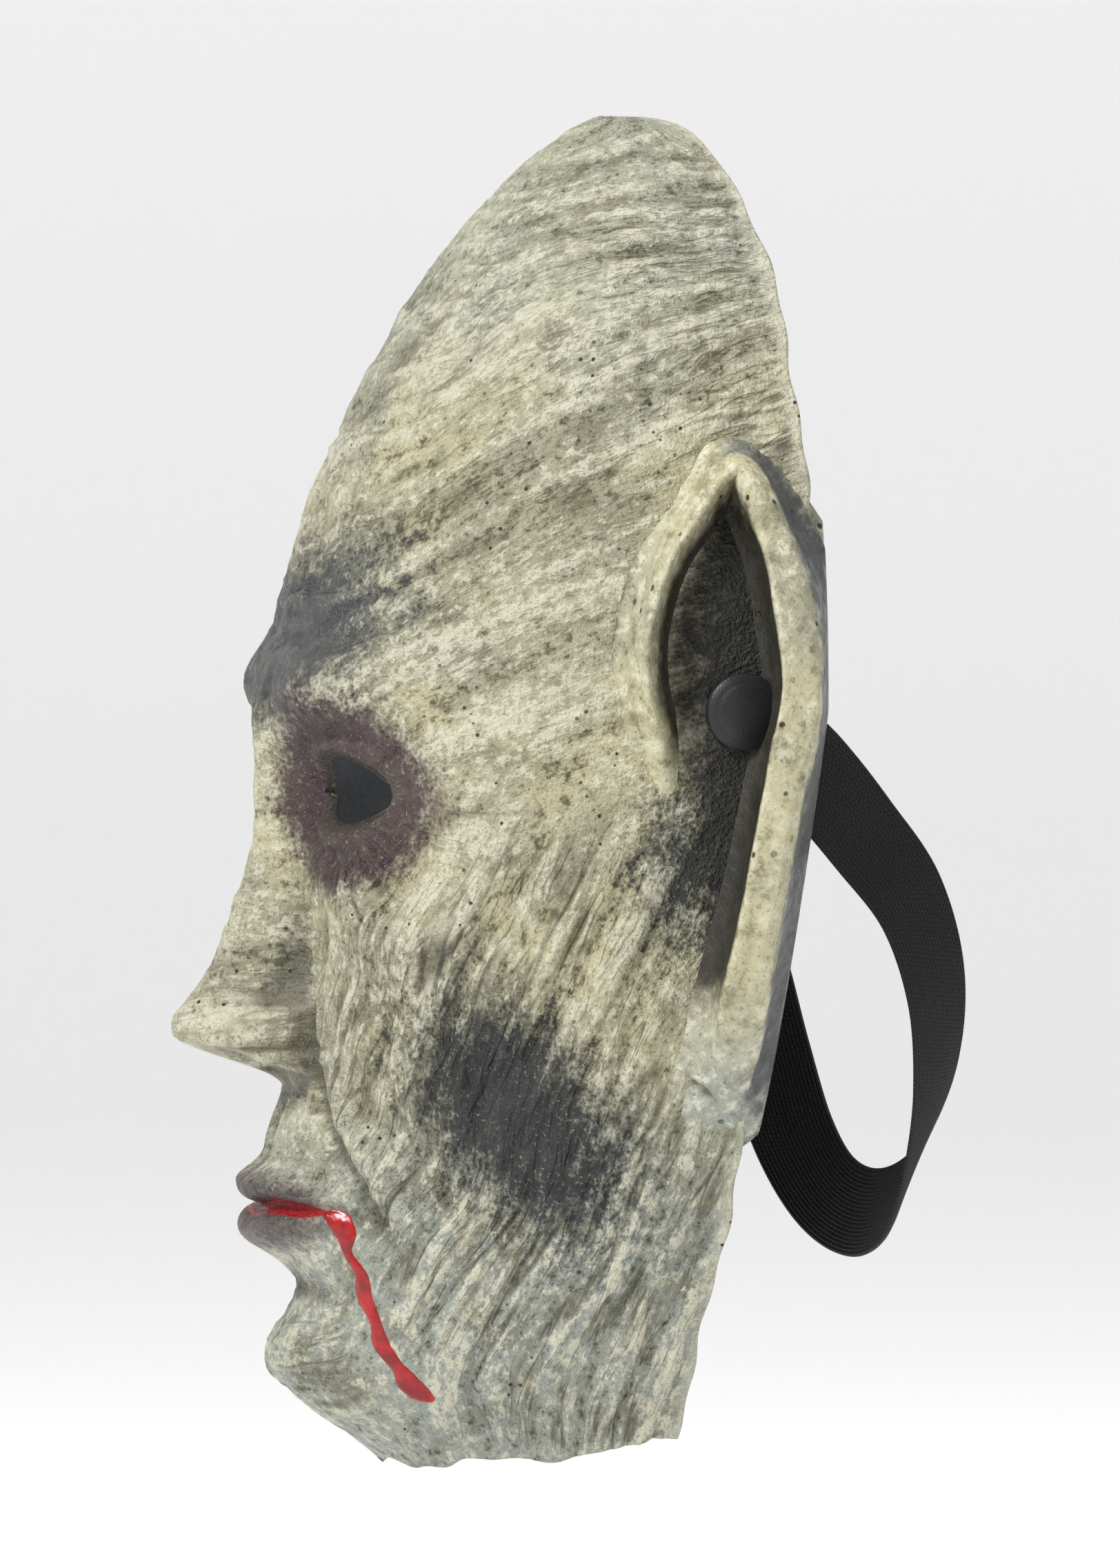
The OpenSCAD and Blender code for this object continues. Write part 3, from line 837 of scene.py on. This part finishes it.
def bump(tree, shader, height, distance):
    node = add(tree, "ShaderNodeBump", {"Height": height, "Distance": distance, "Strength": 1.0})
    tree.links.new(node.outputs[0], shader.inputs["Normal"])


def cloudy(tree, share, texture, spread=1.6):
    """Breaks up a smooth share by the texture below, so that raised spots keep their own colour."""
    broken = minus(tree, 0.5, texture)
    kept = times(tree, broken, times(tree, ramped(tree, share, 0.0, 0.35), spread))
    return ramped(tree, plus(tree, share, kept), 0.06, 0.92)


def latex_ground(tree, place, cool):
    """Cream clouded with grey, cooler by a share, with olive stains."""
    base = over(tree, CREAM, GREY, ramped(tree, noise_at(tree, place, 26.0, 3.0), 0.42, 0.60, 0.0, 0.75))
    base = coat(tree, base, COOL, cool, 0.8)
    stain = ramped(tree, noise_at(tree, place, 75.0, 4.0, 0.65), 0.50, 0.66, 0.0, 0.55)
    return over(tree, base, OLIVE, stain)


def skin_paint():
    """Painted latex over a gritty skin: washed creases darkened further by painted shade, dry-brushed
    streaks, sprayed shadows, painted shade in hollows, painted highlights on ridges and fold tops, and
    painted glints.
    """
    material, tree, shader = plain_material("painted_latex", CREAM, 0.5, 0.36)
    read = reader(tree)
    place = own_place(tree)
    base = latex_ground(tree, place, read("paint_cool"))
    coarse = all_valleys(tree, read, False)
    fine = all_valleys(tree, read, True)
    fold = soft_folds(tree, read)
    relief = read("relief_share")
    worn = ramped(tree, noise_at(tree, place, 48.0, 3.0), 0.36, 0.60, 0.3, 1.0)
    grit = noise_at(tree, place, GRIT_SCALE, 3.0, 0.65)
    streak = noise_at(tree, scaled(tree, read("jaw_flow"), (0.70, 0.26, 0.5)), 1.0, 2.0, 0.65, 0.4)
    streak_up = noise_at(tree, scaled(tree, read("crown_flow"), (0.70, 0.26, 0.5)), 1.0, 2.0, 0.65, 0.4)
    streak = blended(tree, streak_up, streak, read("jaw_share"))
    mottle = noise_at(tree, place, 300.0, 4.0, 0.72)
    brush_and_fold_shade = plus(tree, times(tree, streak, 0.42), times(tree, mottle, 0.58))
    # the soft folds pressed into the relief also steer these tones: painted highlight on fold tops, painted
    # shade in fold hollows
    brush_and_fold_shade = plus(tree, brush_and_fold_shade, times(tree, fold, 0.45))
    speck = plus(tree, times(tree, brush_and_fold_shade, 0.65), times(tree, grit, 0.35))
    base = over(tree, base, PALE, ramped(tree, brush_and_fold_shade, 0.48, 0.60, 0.0, 0.85))
    base = over(tree, base, OLIVE, ramped(tree, brush_and_fold_shade, 0.46, 0.34, 0.0, 0.8))
    rough = times(tree, minus(tree, grit, 0.5), 0.5)
    base = over(tree, base, WASH_AND_SHADE, ramped(tree, plus(tree, brush_and_fold_shade, rough), 0.40, 0.26, 0.0, 0.6))
    # painted shade laid into the face's hollows
    base = coat(tree, base, WASH_AND_SHADE, cloudy(tree, read("paint_hollow"), speck, 1.0), 0.72)
    # painted highlight on the face's ridges, broken up by grit
    base = over(tree, base, PALE, times(tree, read("paint_ridge"), ramped(tree, grit, 0.40, 0.58, 0.1, 0.6)))
    # creases darkened by olive wash and by painted shade, in patches and broken up by grit
    crease_wash_and_shade = plus(tree, times(tree, coarse, 0.75), times(tree, fine, 0.28))
    crease_wash_and_shade = times(tree, times(tree, crease_wash_and_shade, worn), relief)
    crease_wash_and_shade = plus(tree, crease_wash_and_shade, times(tree, minus(tree, grit, 0.5), 0.8))
    base = over(tree, base, OLIVE, ramped(tree, crease_wash_and_shade, 0.08, 0.50, 0.0, 0.6))
    base = over(tree, base, WASH_AND_SHADE, ramped(tree, crease_wash_and_shade, 0.30, 1.05, 0.0, 0.9))
    base = over(tree, base, WASH_AND_SHADE, ramped(tree, grit, 0.47, 0.30, 0.0, 0.4))
    ear = read("paint_ear")
    base = coat(tree, base, SLATE, cloudy(tree, read("paint_slate"), speck, 2.2), 0.88)
    # charcoal smudge on the cheek and painted shade beside the ear
    base = coat(tree, base, SMUDGE_AND_SHADE, cloudy(tree, read("paint_smoke"), speck, 2.6), 0.96)
    base = coat(tree, base, PLUM, cloudy(tree, read("paint_eye"), speck, 2.0), 0.93)
    base = coat(tree, base, WASH_AND_SHADE, read("paint_lid"), 0.85)
    base = coat(tree, base, PLUM, cloudy(tree, read("paint_lips"), speck, 0.8), 0.85)
    # dark paint and painted shade in the ear's hollow
    base = coat(tree, base, UMBER_AND_SHADE, cloudy(tree, ear, speck, 1.2), 0.98)
    base = coat(tree, base, PALE, read("paint_edge"), 0.5)
    glint = times(tree, ramped(tree, grit, 0.60, 0.70), maths(tree, "SUBTRACT", 1.0, ear, True))
    base = coat(tree, base, PALE, glint, 0.3)
    pit = pinholes(tree, place, 300.0, 0.07, 0.54, 0.62)
    base = over(tree, base, WASH_AND_SHADE, pit)
    ragged = times(tree, minus(tree, noise_at(tree, place, 260.0, 2.0), 0.5), 0.5)
    wet = ramped(tree, plus(tree, read("paint_blood"), ragged), 0.44, 0.56)
    base = over(tree, base, BLOOD, wet)
    tree.links.new(base, shader.inputs["Base Color"])
    dull = ramped(tree, noise_at(tree, place, 350.0, 3.0), 0.35, 0.65, 0.34, 0.58)
    tree.links.new(blended(tree, dull, 0.16, wet), shader.inputs["Roughness"])
    height = times(tree, plus(tree, fine, times(tree, coarse, 0.5)), times(tree, relief, -0.35))
    height = plus(tree, height, times(tree, grit, 0.75))
    height = plus(tree, height, times(tree, brush_and_fold_shade, 1.4))
    height = minus(tree, height, times(tree, pit, 0.8))
    bump(tree, shader, height, 0.0012)
    return material


def ear_paint():
    """The ears' latex: smooth cream rim, hollow side darkened by paint and painted shade, and slate back."""
    material, tree, shader = plain_material("painted_ear", CREAM, 0.48)
    read = reader(tree)
    place = own_place(tree)
    base = latex_ground(tree, place, read("paint_cool"))
    mottle = noise_at(tree, place, 230.0, 5.0, 0.72)
    base = over(tree, base, PALE, ramped(tree, mottle, 0.49, 0.62, 0.0, 0.7))
    base = over(tree, base, OLIVE, ramped(tree, mottle, 0.46, 0.34, 0.0, 0.6))
    grit = noise_at(tree, place, GRIT_SCALE, 3.0, 0.65)
    base = over(tree, base, WASH_AND_SHADE, ramped(tree, grit, 0.46, 0.30, 0.0, 0.45))
    # dark paint and painted shade on the hollow side of the rim
    base = coat(tree, base, UMBER_AND_SHADE, cloudy(tree, read("paint_ear"), mottle, 0.8), 0.96)
    base = coat(tree, base, SLATE, cloudy(tree, read("paint_back"), mottle, 1.4), 0.88)
    pit = pinholes(tree, place, 170.0, 0.08, 0.5, 0.6)
    base = over(tree, base, WASH_AND_SHADE, pit)
    tree.links.new(base, shader.inputs["Base Color"])
    dull = ramped(tree, noise_at(tree, place, 300.0, 3.0), 0.35, 0.65, 0.38, 0.6)
    tree.links.new(dull, shader.inputs["Roughness"])
    height = minus(tree, noise_at(tree, place, 420.0, 4.0, 0.6), times(tree, pit, 0.9))
    bump(tree, shader, height, 0.0006)
    return material


def raw_latex():
    """Unpainted dark latex of the inside."""
    material, tree, shader = plain_material("raw_latex", (0.034, 0.038, 0.042, 1), 0.55)
    place = own_place(tree)
    tone = ramped(tree, noise_at(tree, place, 60.0, 3.0), 0.3, 0.7)
    base = over(tree, (0.026, 0.029, 0.033, 1), (0.060, 0.063, 0.066, 1), tone)
    tree.links.new(base, shader.inputs["Base Color"])
    bump(tree, shader, noise_at(tree, place, 500.0, 3.0), 0.0005)
    return material


def black_plastic():
    material, tree, shader = plain_material("black_plastic", (0.012, 0.012, 0.013, 1), 0.46)
    place = own_place(tree)
    dull = ramped(tree, noise_at(tree, place, 220.0, 3.0), 0.3, 0.7, 0.38, 0.52)
    tree.links.new(dull, shader.inputs["Roughness"])
    bump(tree, shader, noise_at(tree, place, 2600.0, 2.0), 0.00008)
    return material


def wet_paint():
    material, tree, shader = plain_material("red_drip", BLOOD, 0.27, 0.4)
    place = own_place(tree)
    tone = ramped(tree, noise_at(tree, place, 240.0, 2.0), 0.35, 0.65)
    base = over(tree, (0.17, 0.003, 0.004, 1), (0.33, 0.006, 0.007, 1), tone)
    tree.links.new(base, shader.inputs["Base Color"])
    bump(tree, shader, noise_at(tree, place, 300.0, 2.0), 0.0005)
    return material


def black_elastic():
    """Knitted black elastic: rows of small stitches across each rib."""
    material, tree, shader = plain_material("black_elastic", (0.012, 0.012, 0.014, 1), 0.72, 0.25)
    read = reader(tree)
    across, along = read("across_mm"), read("along_mm")
    rib_number = maths(tree, "FLOOR", maths(tree, "DIVIDE", across, 0.9))
    half = times(tree, maths(tree, "FLOORED_MODULO", rib_number, 2.0), 0.5)
    stitch = maths(tree, "SINE", times(tree, plus(tree, maths(tree, "DIVIDE", along, 1.1), half), 6.2832))
    rib = maths(tree, "SINE", times(tree, maths(tree, "DIVIDE", across, 0.9), 6.2832))
    knot = ramped(tree, times(tree, stitch, maths(tree, "ABSOLUTE", rib)), 0.0, 1.0)
    place = own_place(tree)
    thread = noise_at(tree, place, 2400.0, 2.0)
    glint = ramped(tree, times(tree, knot, thread), 0.34, 0.56, 0.0, 0.6)
    dark = over(tree, (0.009, 0.009, 0.010, 1), (0.075, 0.075, 0.080, 1), glint)
    tree.links.new(dark, shader.inputs["Base Color"])
    bump(tree, shader, plus(tree, knot, times(tree, thread, 0.4)), 0.0003)
    return material


def patch_cloth():
    """Plain woven cloth soaked in latex."""
    material, tree, shader = plain_material("patch_cloth", (0.045, 0.045, 0.05, 1), 0.8, 0.2)
    place = own_place(tree)
    parts = add(tree, "ShaderNodeSeparateXYZ", {0: place})
    warp = maths(tree, "SINE", times(tree, parts.outputs[1], 9000.0))
    weft = maths(tree, "SINE", times(tree, parts.outputs[2], 9000.0))
    weave = ramped(tree, times(tree, warp, weft), -1.0, 1.0)
    base = over(tree, (0.026, 0.027, 0.03, 1), (0.085, 0.085, 0.09, 1), weave)
    tree.links.new(base, shader.inputs["Base Color"])
    bump(tree, shader, weave, 0.0002)
    return material


# ---------------------------------------------------------------- ears
# across the rim from its outer foot over the top to its inner foot, and up from the shell, as shares
RIM_SECTION = np.array([
    [-1.45, -0.05], [-1.12, 0.04], [-0.84, 0.15], [-0.68, 0.30], [-0.60, 0.46], [-0.56, 0.62], [-0.54, 0.76],
    [-0.51, 0.87], [-0.45, 0.94], [-0.36, 0.985], [-0.22, 1.0], [-0.06, 0.99], [0.10, 0.985], [0.26, 0.99],
    [0.38, 0.985], [0.46, 0.95], [0.50, 0.89], [0.51, 0.80], [0.52, 0.66], [0.55, 0.50], [0.61, 0.33],
    [0.73, 0.18], [0.92, 0.06], [1.20, -0.02], [1.45, -0.07]])
EAR_FOOT = 1.1
EAR_LEAN = -7.0


def ear_points(side):
    """Rings of points round the ear in mm, and the share across the rim for each."""
    line = ear_line(EAR_RINGS)
    along = np.roll(line, -2, axis=0) - np.roll(line, 2, axis=0)
    normal = unit_rows(np.stack([-along[:, 1], along[:, 0]], axis=-1))
    across, up = RIM_SECTION[:, 0], RIM_SECTION[:, 1]
    wide = line[:, 3:4] * across[None, :]
    y = line[:, 0:1] + normal[:, 0:1] * wide
    z = line[:, 1:2] + normal[:, 1:2] * wide
    y = np.minimum(y, rear_y(z) + 3)
    share = line[:, 2:3]
    sunk = 2.4 * (1 - ramp(share, 0.06, 0.34))
    band = ramp(share, 0.36, 0.75)
    hump = (1.08 * np.exp(-((across / 0.66) ** 2)) - 0.08)[None, :]
    profile = band * up[None, :] + (1 - band) * hump
    height = EAR_OUT * share * profile + 0.35 * profile - sunk
    foot = shell_x(np.minimum(y, rear_y(z) - 0.5), z)
    x = np.maximum(foot + height, foot - 1.4)
    y = y + EAR_LEAN * share**2 * np.maximum(profile, 0)
    under_x = shell_x(np.minimum(line[:, 0:1], rear_y(line[:, 1:2]) - 0.5), line[:, 1:2]) - EAR_FOOT
    under = np.concatenate([under_x, line[:, 0:1], line[:, 1:2]], axis=1)[:, None, :]
    points = np.concatenate([np.stack([x, y, z], axis=-1), under], axis=1)
    points[..., 0] = np.minimum(points[..., 0], cad_high.x / MM)
    points[..., 0] *= side
    return points, share


def make_ear(name, side, paint):
    """One ear: its rim swept round the outline, flared into the side of the head."""
    points, share = ear_points(side)
    rings, count = points.shape[:2]
    faces = ring_faces(rings, count, closed=True)
    if side < 0:
        faces = [face[::-1] for face in faces]
    obj = new_mesh(name, points.reshape(-1, 3), faces, [0] * len(faces))
    across = np.concatenate([RIM_SECTION[:, 0], [0]])
    up = np.concatenate([RIM_SECTION[:, 1], [-0.5]])
    tall = ramp(np.repeat(share, count, axis=1), 0.1, 0.5)
    band = ramp(np.repeat(share, count, axis=1), 0.36, 0.75)
    inner = band * ramp(across, 0.40, 0.56)[None, :] + (1 - band) * ramp(across, 0.05, 1.1)[None, :]
    outer = (ramp(-across, 0.44, 0.60) * ramp(across, -1.42, -0.95))[None, :] * tall
    rear = ramp(points[..., 1], -9, 0)
    flow = np.stack([points[..., 1], points[..., 2], points[..., 0]], axis=-1)
    # the hollow side of the rim: dark paint and painted shade
    store(obj.data, "paint_ear", inner * ramp(points[..., 2], -70, -48))
    store(obj.data, "paint_back", outer * rear)
    store(obj.data, "paint_cool", ramp(-points[..., 2], 50, 90))
    store(obj.data, "relief_share", ramp(up, 0.0, 0.5)[None, :] * np.ones((rings, 1)))
    for key, value in {"outside": 1, "crease_share": 1, "jaw_share": 0, "eye_share": 0}.items():
        store(obj.data, key, np.full(rings * count, value))
    for key in ("crown_flow", "jaw_flow", "eye_flow"):
        store(obj.data, key, flow, "FLOAT_VECTOR")
    obj.data.materials.append(paint)
    return obj


# ---------------------------------------------------------------- snaps and patches
def lathe(name, profile, side, material, steps=72, closed=False):
    """Turns a profile of radius and X, in mm, about the snaps' line. A closed profile leaves a bore."""
    angles = np.arange(steps) * 2 * np.pi / steps
    count = len(profile)
    points = []
    for r, x in profile:
        points.append(np.stack([np.full(steps, side * x), r * np.cos(angles), r * np.sin(angles)], axis=-1))
    points = np.concatenate(points)
    faces = ring_faces(count, steps, closed)
    if not closed:
        faces.append(tuple(range(steps)))
        faces.append(tuple((count - 1) * steps + a for a in reversed(range(steps))))
    if side < 0:
        faces = [face[::-1] for face in faces]
    obj = new_mesh(name, points, faces)
    obj.data.materials.append(material)
    return obj


def rounded(start, corner, end, radius, steps=5):
    """Points of a rounded corner of a profile."""
    a, c, b = (np.array(p, float) for p in (start, corner, end))
    p = c + (a - c) / np.linalg.norm(a - c) * radius
    q = c + (b - c) / np.linalg.norm(b - c) * radius
    return [tuple((1 - t) ** 2 * p + 2 * t * (1 - t) * c + t * t * q) for t in np.linspace(0, 1, steps)]


CAP_R = cap_high.y / MM
CAP_TOP = cap_high.x / MM
POST_END = cap_low.x / MM
POST_R = 2.0
STRAP_X = (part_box("left_snap_socket")[1].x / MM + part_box("left_strap_patch")[0].x / MM) / 2


def make_cap(name, side, material):
    """Domed cap with a rolled rim, a faint ring on its face, and its post."""
    dome = [(r, CAP_TOP - 2.0 * (r / CAP_R) ** 2.4 - 0.10 * math.exp(-(((r - 5.9) / 0.35) ** 2)))
            for r in np.linspace(0.25, CAP_R - 0.5, 22)]
    rim = rounded(dome[-1], (CAP_R, CAP_TOP - 2.1), (CAP_R, SEAT_X), 0.55)
    under = rounded((CAP_R, CAP_TOP - 2.0), (CAP_R, SEAT_X + 0.02), (0, SEAT_X + 0.02), 0.25)
    post = [(POST_R + 0.3, SEAT_X + 0.02), (POST_R, SEAT_X - 0.3), (POST_R, POST_END + 0.5)]
    post += [(POST_R - 0.5, POST_END), (0.3, POST_END)]
    return lathe(name, dome + rim + under + post, side, material)


def make_socket(name, side, material):
    """Ring pressed on the post: a flange against the strap, a collar and a rolled mouth."""
    low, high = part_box("left_snap_socket")
    x0, x1, r = low.x / MM, high.x / MM, high.y / MM
    collar = r - 2.2
    profile = [(POST_R, x1)]
    profile += rounded((POST_R, x1), (r, x1), (r, x1 - 0.9), 0.3)
    profile += rounded((r, x1), (r, x1 - 0.9), (collar, x1 - 0.9), 0.3)
    profile += rounded((r, x1 - 0.9), (collar, x1 - 0.9), (collar, x0), 0.2)
    profile += rounded((collar, x1 - 0.9), (collar, x0), (POST_R, x0), 0.45)
    profile += [(POST_R + 1.0, x0), (POST_R + 0.5, x0 + 0.35), (POST_R, x0 + 0.5)]
    return lathe(name, profile, side, material, closed=True)


def make_patch(name, side, material):
    low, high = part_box("left_strap_patch")
    x0, x1, r = low.x / MM, high.x / MM, high.y / MM
    profile = [(POST_R + 0.05, x1), (r * 0.5, x1), (r, x1), (r, x1 - 0.3), (r - 0.7, x0 + 0.05)]
    profile += [(r * 0.5, x0), (POST_R + 0.3, x0), (POST_R + 0.05, x0 + 0.1)]
    return lathe(name, profile, side, material, closed=True)


# ---------------------------------------------------------------- strap
STRAP_W = 20.0
STRAP_T = 1.3
STRAP_RIBS = 22
STRAP_ROUTE = [
    (71.7, 17, -14), (67.5, 28, -26), (64, 39, -40), (58, 46, -58), (47, 49, -77), (31, 49.5, -94),
    (12, 49, -106), (-9, 47, -111), (-30, 44, -108), (-48, 41, -97), (-60, 38, -80), (-67, 34, -60),
    (-68, 27, -38), (-71.7, 17, -19)]
TAB_ANGLES = (math.radians(40), math.radians(48))


def strap_line(steps):
    """Middle line of the elastic and the way its face looks, from the left tab to the right one."""
    ends = []
    for side, angle in zip((1, -1), TAB_ANGLES):
        ends.append([(side * STRAP_X, d * math.cos(angle), -d * math.sin(angle)) for d in (-9, 0, 10)])
    path = np.array(ends[0] + STRAP_ROUTE + ends[1][::-1], float)
    spans = len(path) - 1
    r = np.linspace(0, spans, spans * steps + 1)
    k = np.minimum(np.floor(r).astype(int), spans - 1)
    f = (r - k)[:, None]
    a, b, c, d = (path[np.clip(k + j, 0, spans)] for j in (-1, 0, 1, 2))
    curve = spline(a, b, c, d, f)
    straight = ((k < 2) | (k > spans - 3))[:, None]
    line = np.where(straight, b + (c - b) * f, curve)
    from_end = np.minimum(r, spans - r)
    tab = (1 - ramp(from_end, 2, 3.2))[:, None]
    loop = np.stack([line[:, 0], np.maximum(line[:, 1], 1), (line[:, 2] + 45) * 0.25], axis=-1)
    out = np.stack([np.sign(line[:, 0]) * HALF_W, 0 * r, 0 * r], axis=-1)
    away = unit_rows(loop * (1 - tab) + out * tab)
    run = unit_rows(np.gradient(line, axis=0))
    face = unit_rows(away - run * np.sum(away * run, axis=1, keepdims=True))
    return line, run, face


def strap_tree():
    """Ribbed band swept along a line of points that carry the way across it and the way it faces."""
    tree, start, read = new_tree("elastic_band", ("Width", "Thickness", "Ribs", "Rib depth"), "Elastic")
    u, top = read("across_share"), read("top_sign")
    ribs = times(tree, times(tree, u, start.outputs["Ribs"]), math.pi)
    groove = minus(tree, 1.0, maths(tree, "ABSOLUTE", maths(tree, "SINE", ribs)))
    groove = times(tree, maths(tree, "POWER", groove, 1.6), start.outputs["Rib depth"])
    half = minus(tree, times(tree, start.outputs["Thickness"], 0.5), groove)
    edge = maths(tree, "POWER", maths(tree, "ABSOLUTE", minus(tree, times(tree, u, 2.0), 1.0)), 24.0)
    half = times(tree, half, minus(tree, 1.0, times(tree, edge, 0.55)))
    out = times(tree, half, top)
    wide = times(tree, minus(tree, u, 0.5), start.outputs["Width"])
    sideways = along_vector(tree, read("across_way"), wide)
    outward = along_vector(tree, read("face_way"), out)
    move = add(tree, "ShaderNodeVectorMath", {0: sideways, 1: outward}, operation="ADD").outputs[0]
    end_tree(tree, start, move, "Elastic")
    return tree


def make_strap(material):
    """The elastic: a band of points on its middle line, shaped by the tree into ribs and rounded edges."""
    line, run, face = strap_line(18)
    across = np.cross(run, face)
    per_rib = 4
    n = STRAP_RIBS * per_rib
    u = np.concatenate([np.arange(n + 1) / n, np.arange(n, -1, -1) / n])
    top = np.concatenate([np.ones(n + 1), -np.ones(n + 1)])
    count, rings = len(u), len(line)
    faces = ring_faces(rings, count, reverse=True)
    last = (rings - 1) * count
    for s in range(n):
        other = count - 1 - s
        faces.append((s, other, other - 1, s + 1))
        faces.append((last + s, last + s + 1, last + other - 1, last + other))
    obj = new_mesh("elastic_band", np.repeat(line, count, axis=0), faces)
    length = np.concatenate([[0], np.cumsum(np.linalg.norm(np.diff(line, axis=0), axis=1))])
    store(obj.data, "across_share", np.tile(u, rings))
    store(obj.data, "top_sign", np.tile(top, rings))
    store(obj.data, "across_way", np.repeat(across, count, axis=0), "FLOAT_VECTOR")
    store(obj.data, "face_way", np.repeat(face, count, axis=0), "FLOAT_VECTOR")
    store(obj.data, "across_mm", np.tile(u * STRAP_W, rings))
    store(obj.data, "along_mm", np.repeat(length, count))
    values = {"Width": STRAP_W * MM, "Thickness": STRAP_T * MM, "Rib depth": 0.28 * MM}
    values.update({"Ribs": float(STRAP_RIBS), "Elastic": material})
    apply_tree(obj, strap_tree(), values)
    return obj


# ---------------------------------------------------------------- the red drip
# out from the middle, up from the mouth line, half width
DRIP = np.array([
    [23.6, -0.2, 0.8], [25.6, -1.2, 1.3], [26.9, -4.5, 1.7], [26.7, -8.5, 0.9], [28.1, -13, 1.2],
    [27.3, -18, 1.6], [28.3, -23, 1.0], [28.3, -28, 1.4], [29.5, -33, 1.1], [29.4, -37, 1.9],
    [29.6, -40, 1.5]])


def on_skin(x, z):
    """Depth of the smooth skin at a place on the front of the face."""
    n = 2 / squareness(z)
    t = np.arcsin(np.clip((np.abs(x) / side_w(z)) ** (1 / n), 0, 1)) * 2 / np.pi
    return head_point(np.sign(x) * t, z)[1] - push(x, z)


def make_drip(material):
    """A raised run of glossy red paint from the corner of the mouth down beside the chin."""
    rows = DRIP.copy()
    rows[:, 1] += MOUTH_Z
    s = np.linspace(0, len(rows) - 1, 90)
    k = np.minimum(s.astype(int), len(rows) - 2)
    f = (s - k)[:, None]
    line = spline(*(rows[np.clip(k + j, 0, len(rows) - 1)] for j in (-1, 0, 1, 2)), f)
    ends = np.sqrt(np.clip(np.minimum(s, len(rows) - 1 - s) * 2.6, 0.02, 1))
    way = unit_rows(np.gradient(line[:, :2], axis=0))
    side = np.stack([-way[:, 1], way[:, 0]], axis=-1)
    turns = np.linspace(0, 2 * np.pi, 14, endpoint=False)
    points = []
    for i in range(len(line)):
        x = line[i, 0] + side[i, 0] * np.cos(turns) * line[i, 2] * ends[i]
        z = line[i, 1] + side[i, 1] * np.cos(turns) * line[i, 2] * ends[i]
        rise = np.where(np.sin(turns) > 0, 0.75 * np.sin(turns), 1.6 * np.sin(turns)) * ends[i]
        points.append(np.stack([x, on_skin(x, z) - rise, z], axis=-1))
    count = len(turns)
    faces = ring_faces(len(points), count, reverse=True)
    last = (len(points) - 1) * count
    faces.append(tuple(reversed(range(count))))
    faces.append(tuple(last + q for q in range(count)))
    obj = new_mesh("red_drip", np.concatenate(points), faces)
    obj.data.materials.append(material)
    return obj


# ---------------------------------------------------------------- studio
FLOOR_DROP = 300  # mm under the snaps


def make_stage():
    """A pale floor that curves up all round, well below the mask."""
    rows = [(0.01, 0), (1.6, 0), (2.6, 0.02), (3.2, 0.14), (3.6, 0.45), (3.8, 0.9), (3.85, 1.6)]
    steps = 64
    points = []
    for r, z in rows:
        for a in range(steps):
            turn = 2 * math.pi * a / steps
            points.append((r * math.cos(turn) * 1000, r * math.sin(turn) * 1000, z * 1000 - FLOOR_DROP))
    faces = ring_faces(len(rows), steps)
    faces.append(tuple(range(steps)))
    obj = new_mesh("studio_floor", points, faces)
    paint, _, shader = plain_material("pale_floor", (0.88, 0.88, 0.88, 1), 0.9, 0.1)
    shader.inputs["Emission Color"].default_value = (1, 1, 1, 1)
    shader.inputs["Emission Strength"].default_value = 0.30
    obj.data.materials.append(paint)


def softbox(name, place, size, watts, colour=(1, 1, 1)):
    data = bpy.data.lights.new(name, "AREA")
    data.energy = watts
    data.size = size
    data.color = colour
    light = bpy.data.objects.new(name, data)
    light.location = place
    light.rotation_euler = (-Vector(place)).to_track_quat("-Z", "Y").to_euler()
    bpy.context.scene.collection.objects.link(light)


def make_lights():
    """White surroundings with a large softbox above and in front, and a weaker one behind."""
    world = bpy.data.worlds.new("white_studio")
    bpy.context.scene.world = world
    bpy.context.scene.view_settings.view_transform = "Standard"
    world.use_nodes = True
    background = world.node_tree.nodes["Background"]
    background.inputs["Color"].default_value = (1, 1, 1, 1)
    background.inputs["Strength"].default_value = 0.25
    softbox("key_light", (0.7, -1.1, 1.3), 0.45, 40)
    softbox("side_light", (1.3, 0.9, 0.4), 0.4, 3)
    softbox("top_light", (-0.3, 0.5, 1.5), 0.6, 12)


# ---------------------------------------------------------------- build
def finish_piece(obj, body, slot, *nodes):
    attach(obj, body)
    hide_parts(*nodes)


def build():
    latex, ear_latex, raw = skin_paint(), ear_paint(), raw_latex()
    plastic, cloth, elastic = black_plastic(), patch_cloth(), black_elastic()
    relief = relief_tree()
    skin = make_skin(latex, raw)
    depths = {"Crease depth": 1.6 * MM, "Lump height": 3.0 * MM, "Grain height": 0.6 * MM, "Paint": latex}
    apply_tree(skin, relief, depths)
    finish_piece(skin, "root", "painted_latex", "face_shell")
    for side, word in ((1, "left"), (-1, "right")):
        ear = make_ear(word + "_ear_rim", side, ear_latex)
        values = {"Crease depth": 0.0, "Lump height": 1.0 * MM, "Grain height": 0.25 * MM, "Paint": ear_latex}
        apply_tree(ear, relief, values)
        finish_piece(ear, "root", "painted_latex", word + "_ear")
        finish_piece(make_cap(word + "_cap", side, plastic), "root", "black_plastic", word + "_snap_cap")
        socket = make_socket(word + "_socket", side, plastic)
        finish_piece(socket, "root", "black_plastic", word + "_snap_socket")
        finish_piece(make_patch(word + "_patch", side, cloth), "root", "patch_cloth", word + "_strap_patch")
    finish_piece(make_strap(elastic), "strap", "black_elastic", "elastic_strap")
    drip = make_drip(wet_paint())
    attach(drip, "root")


build()
make_stage()
make_lights()
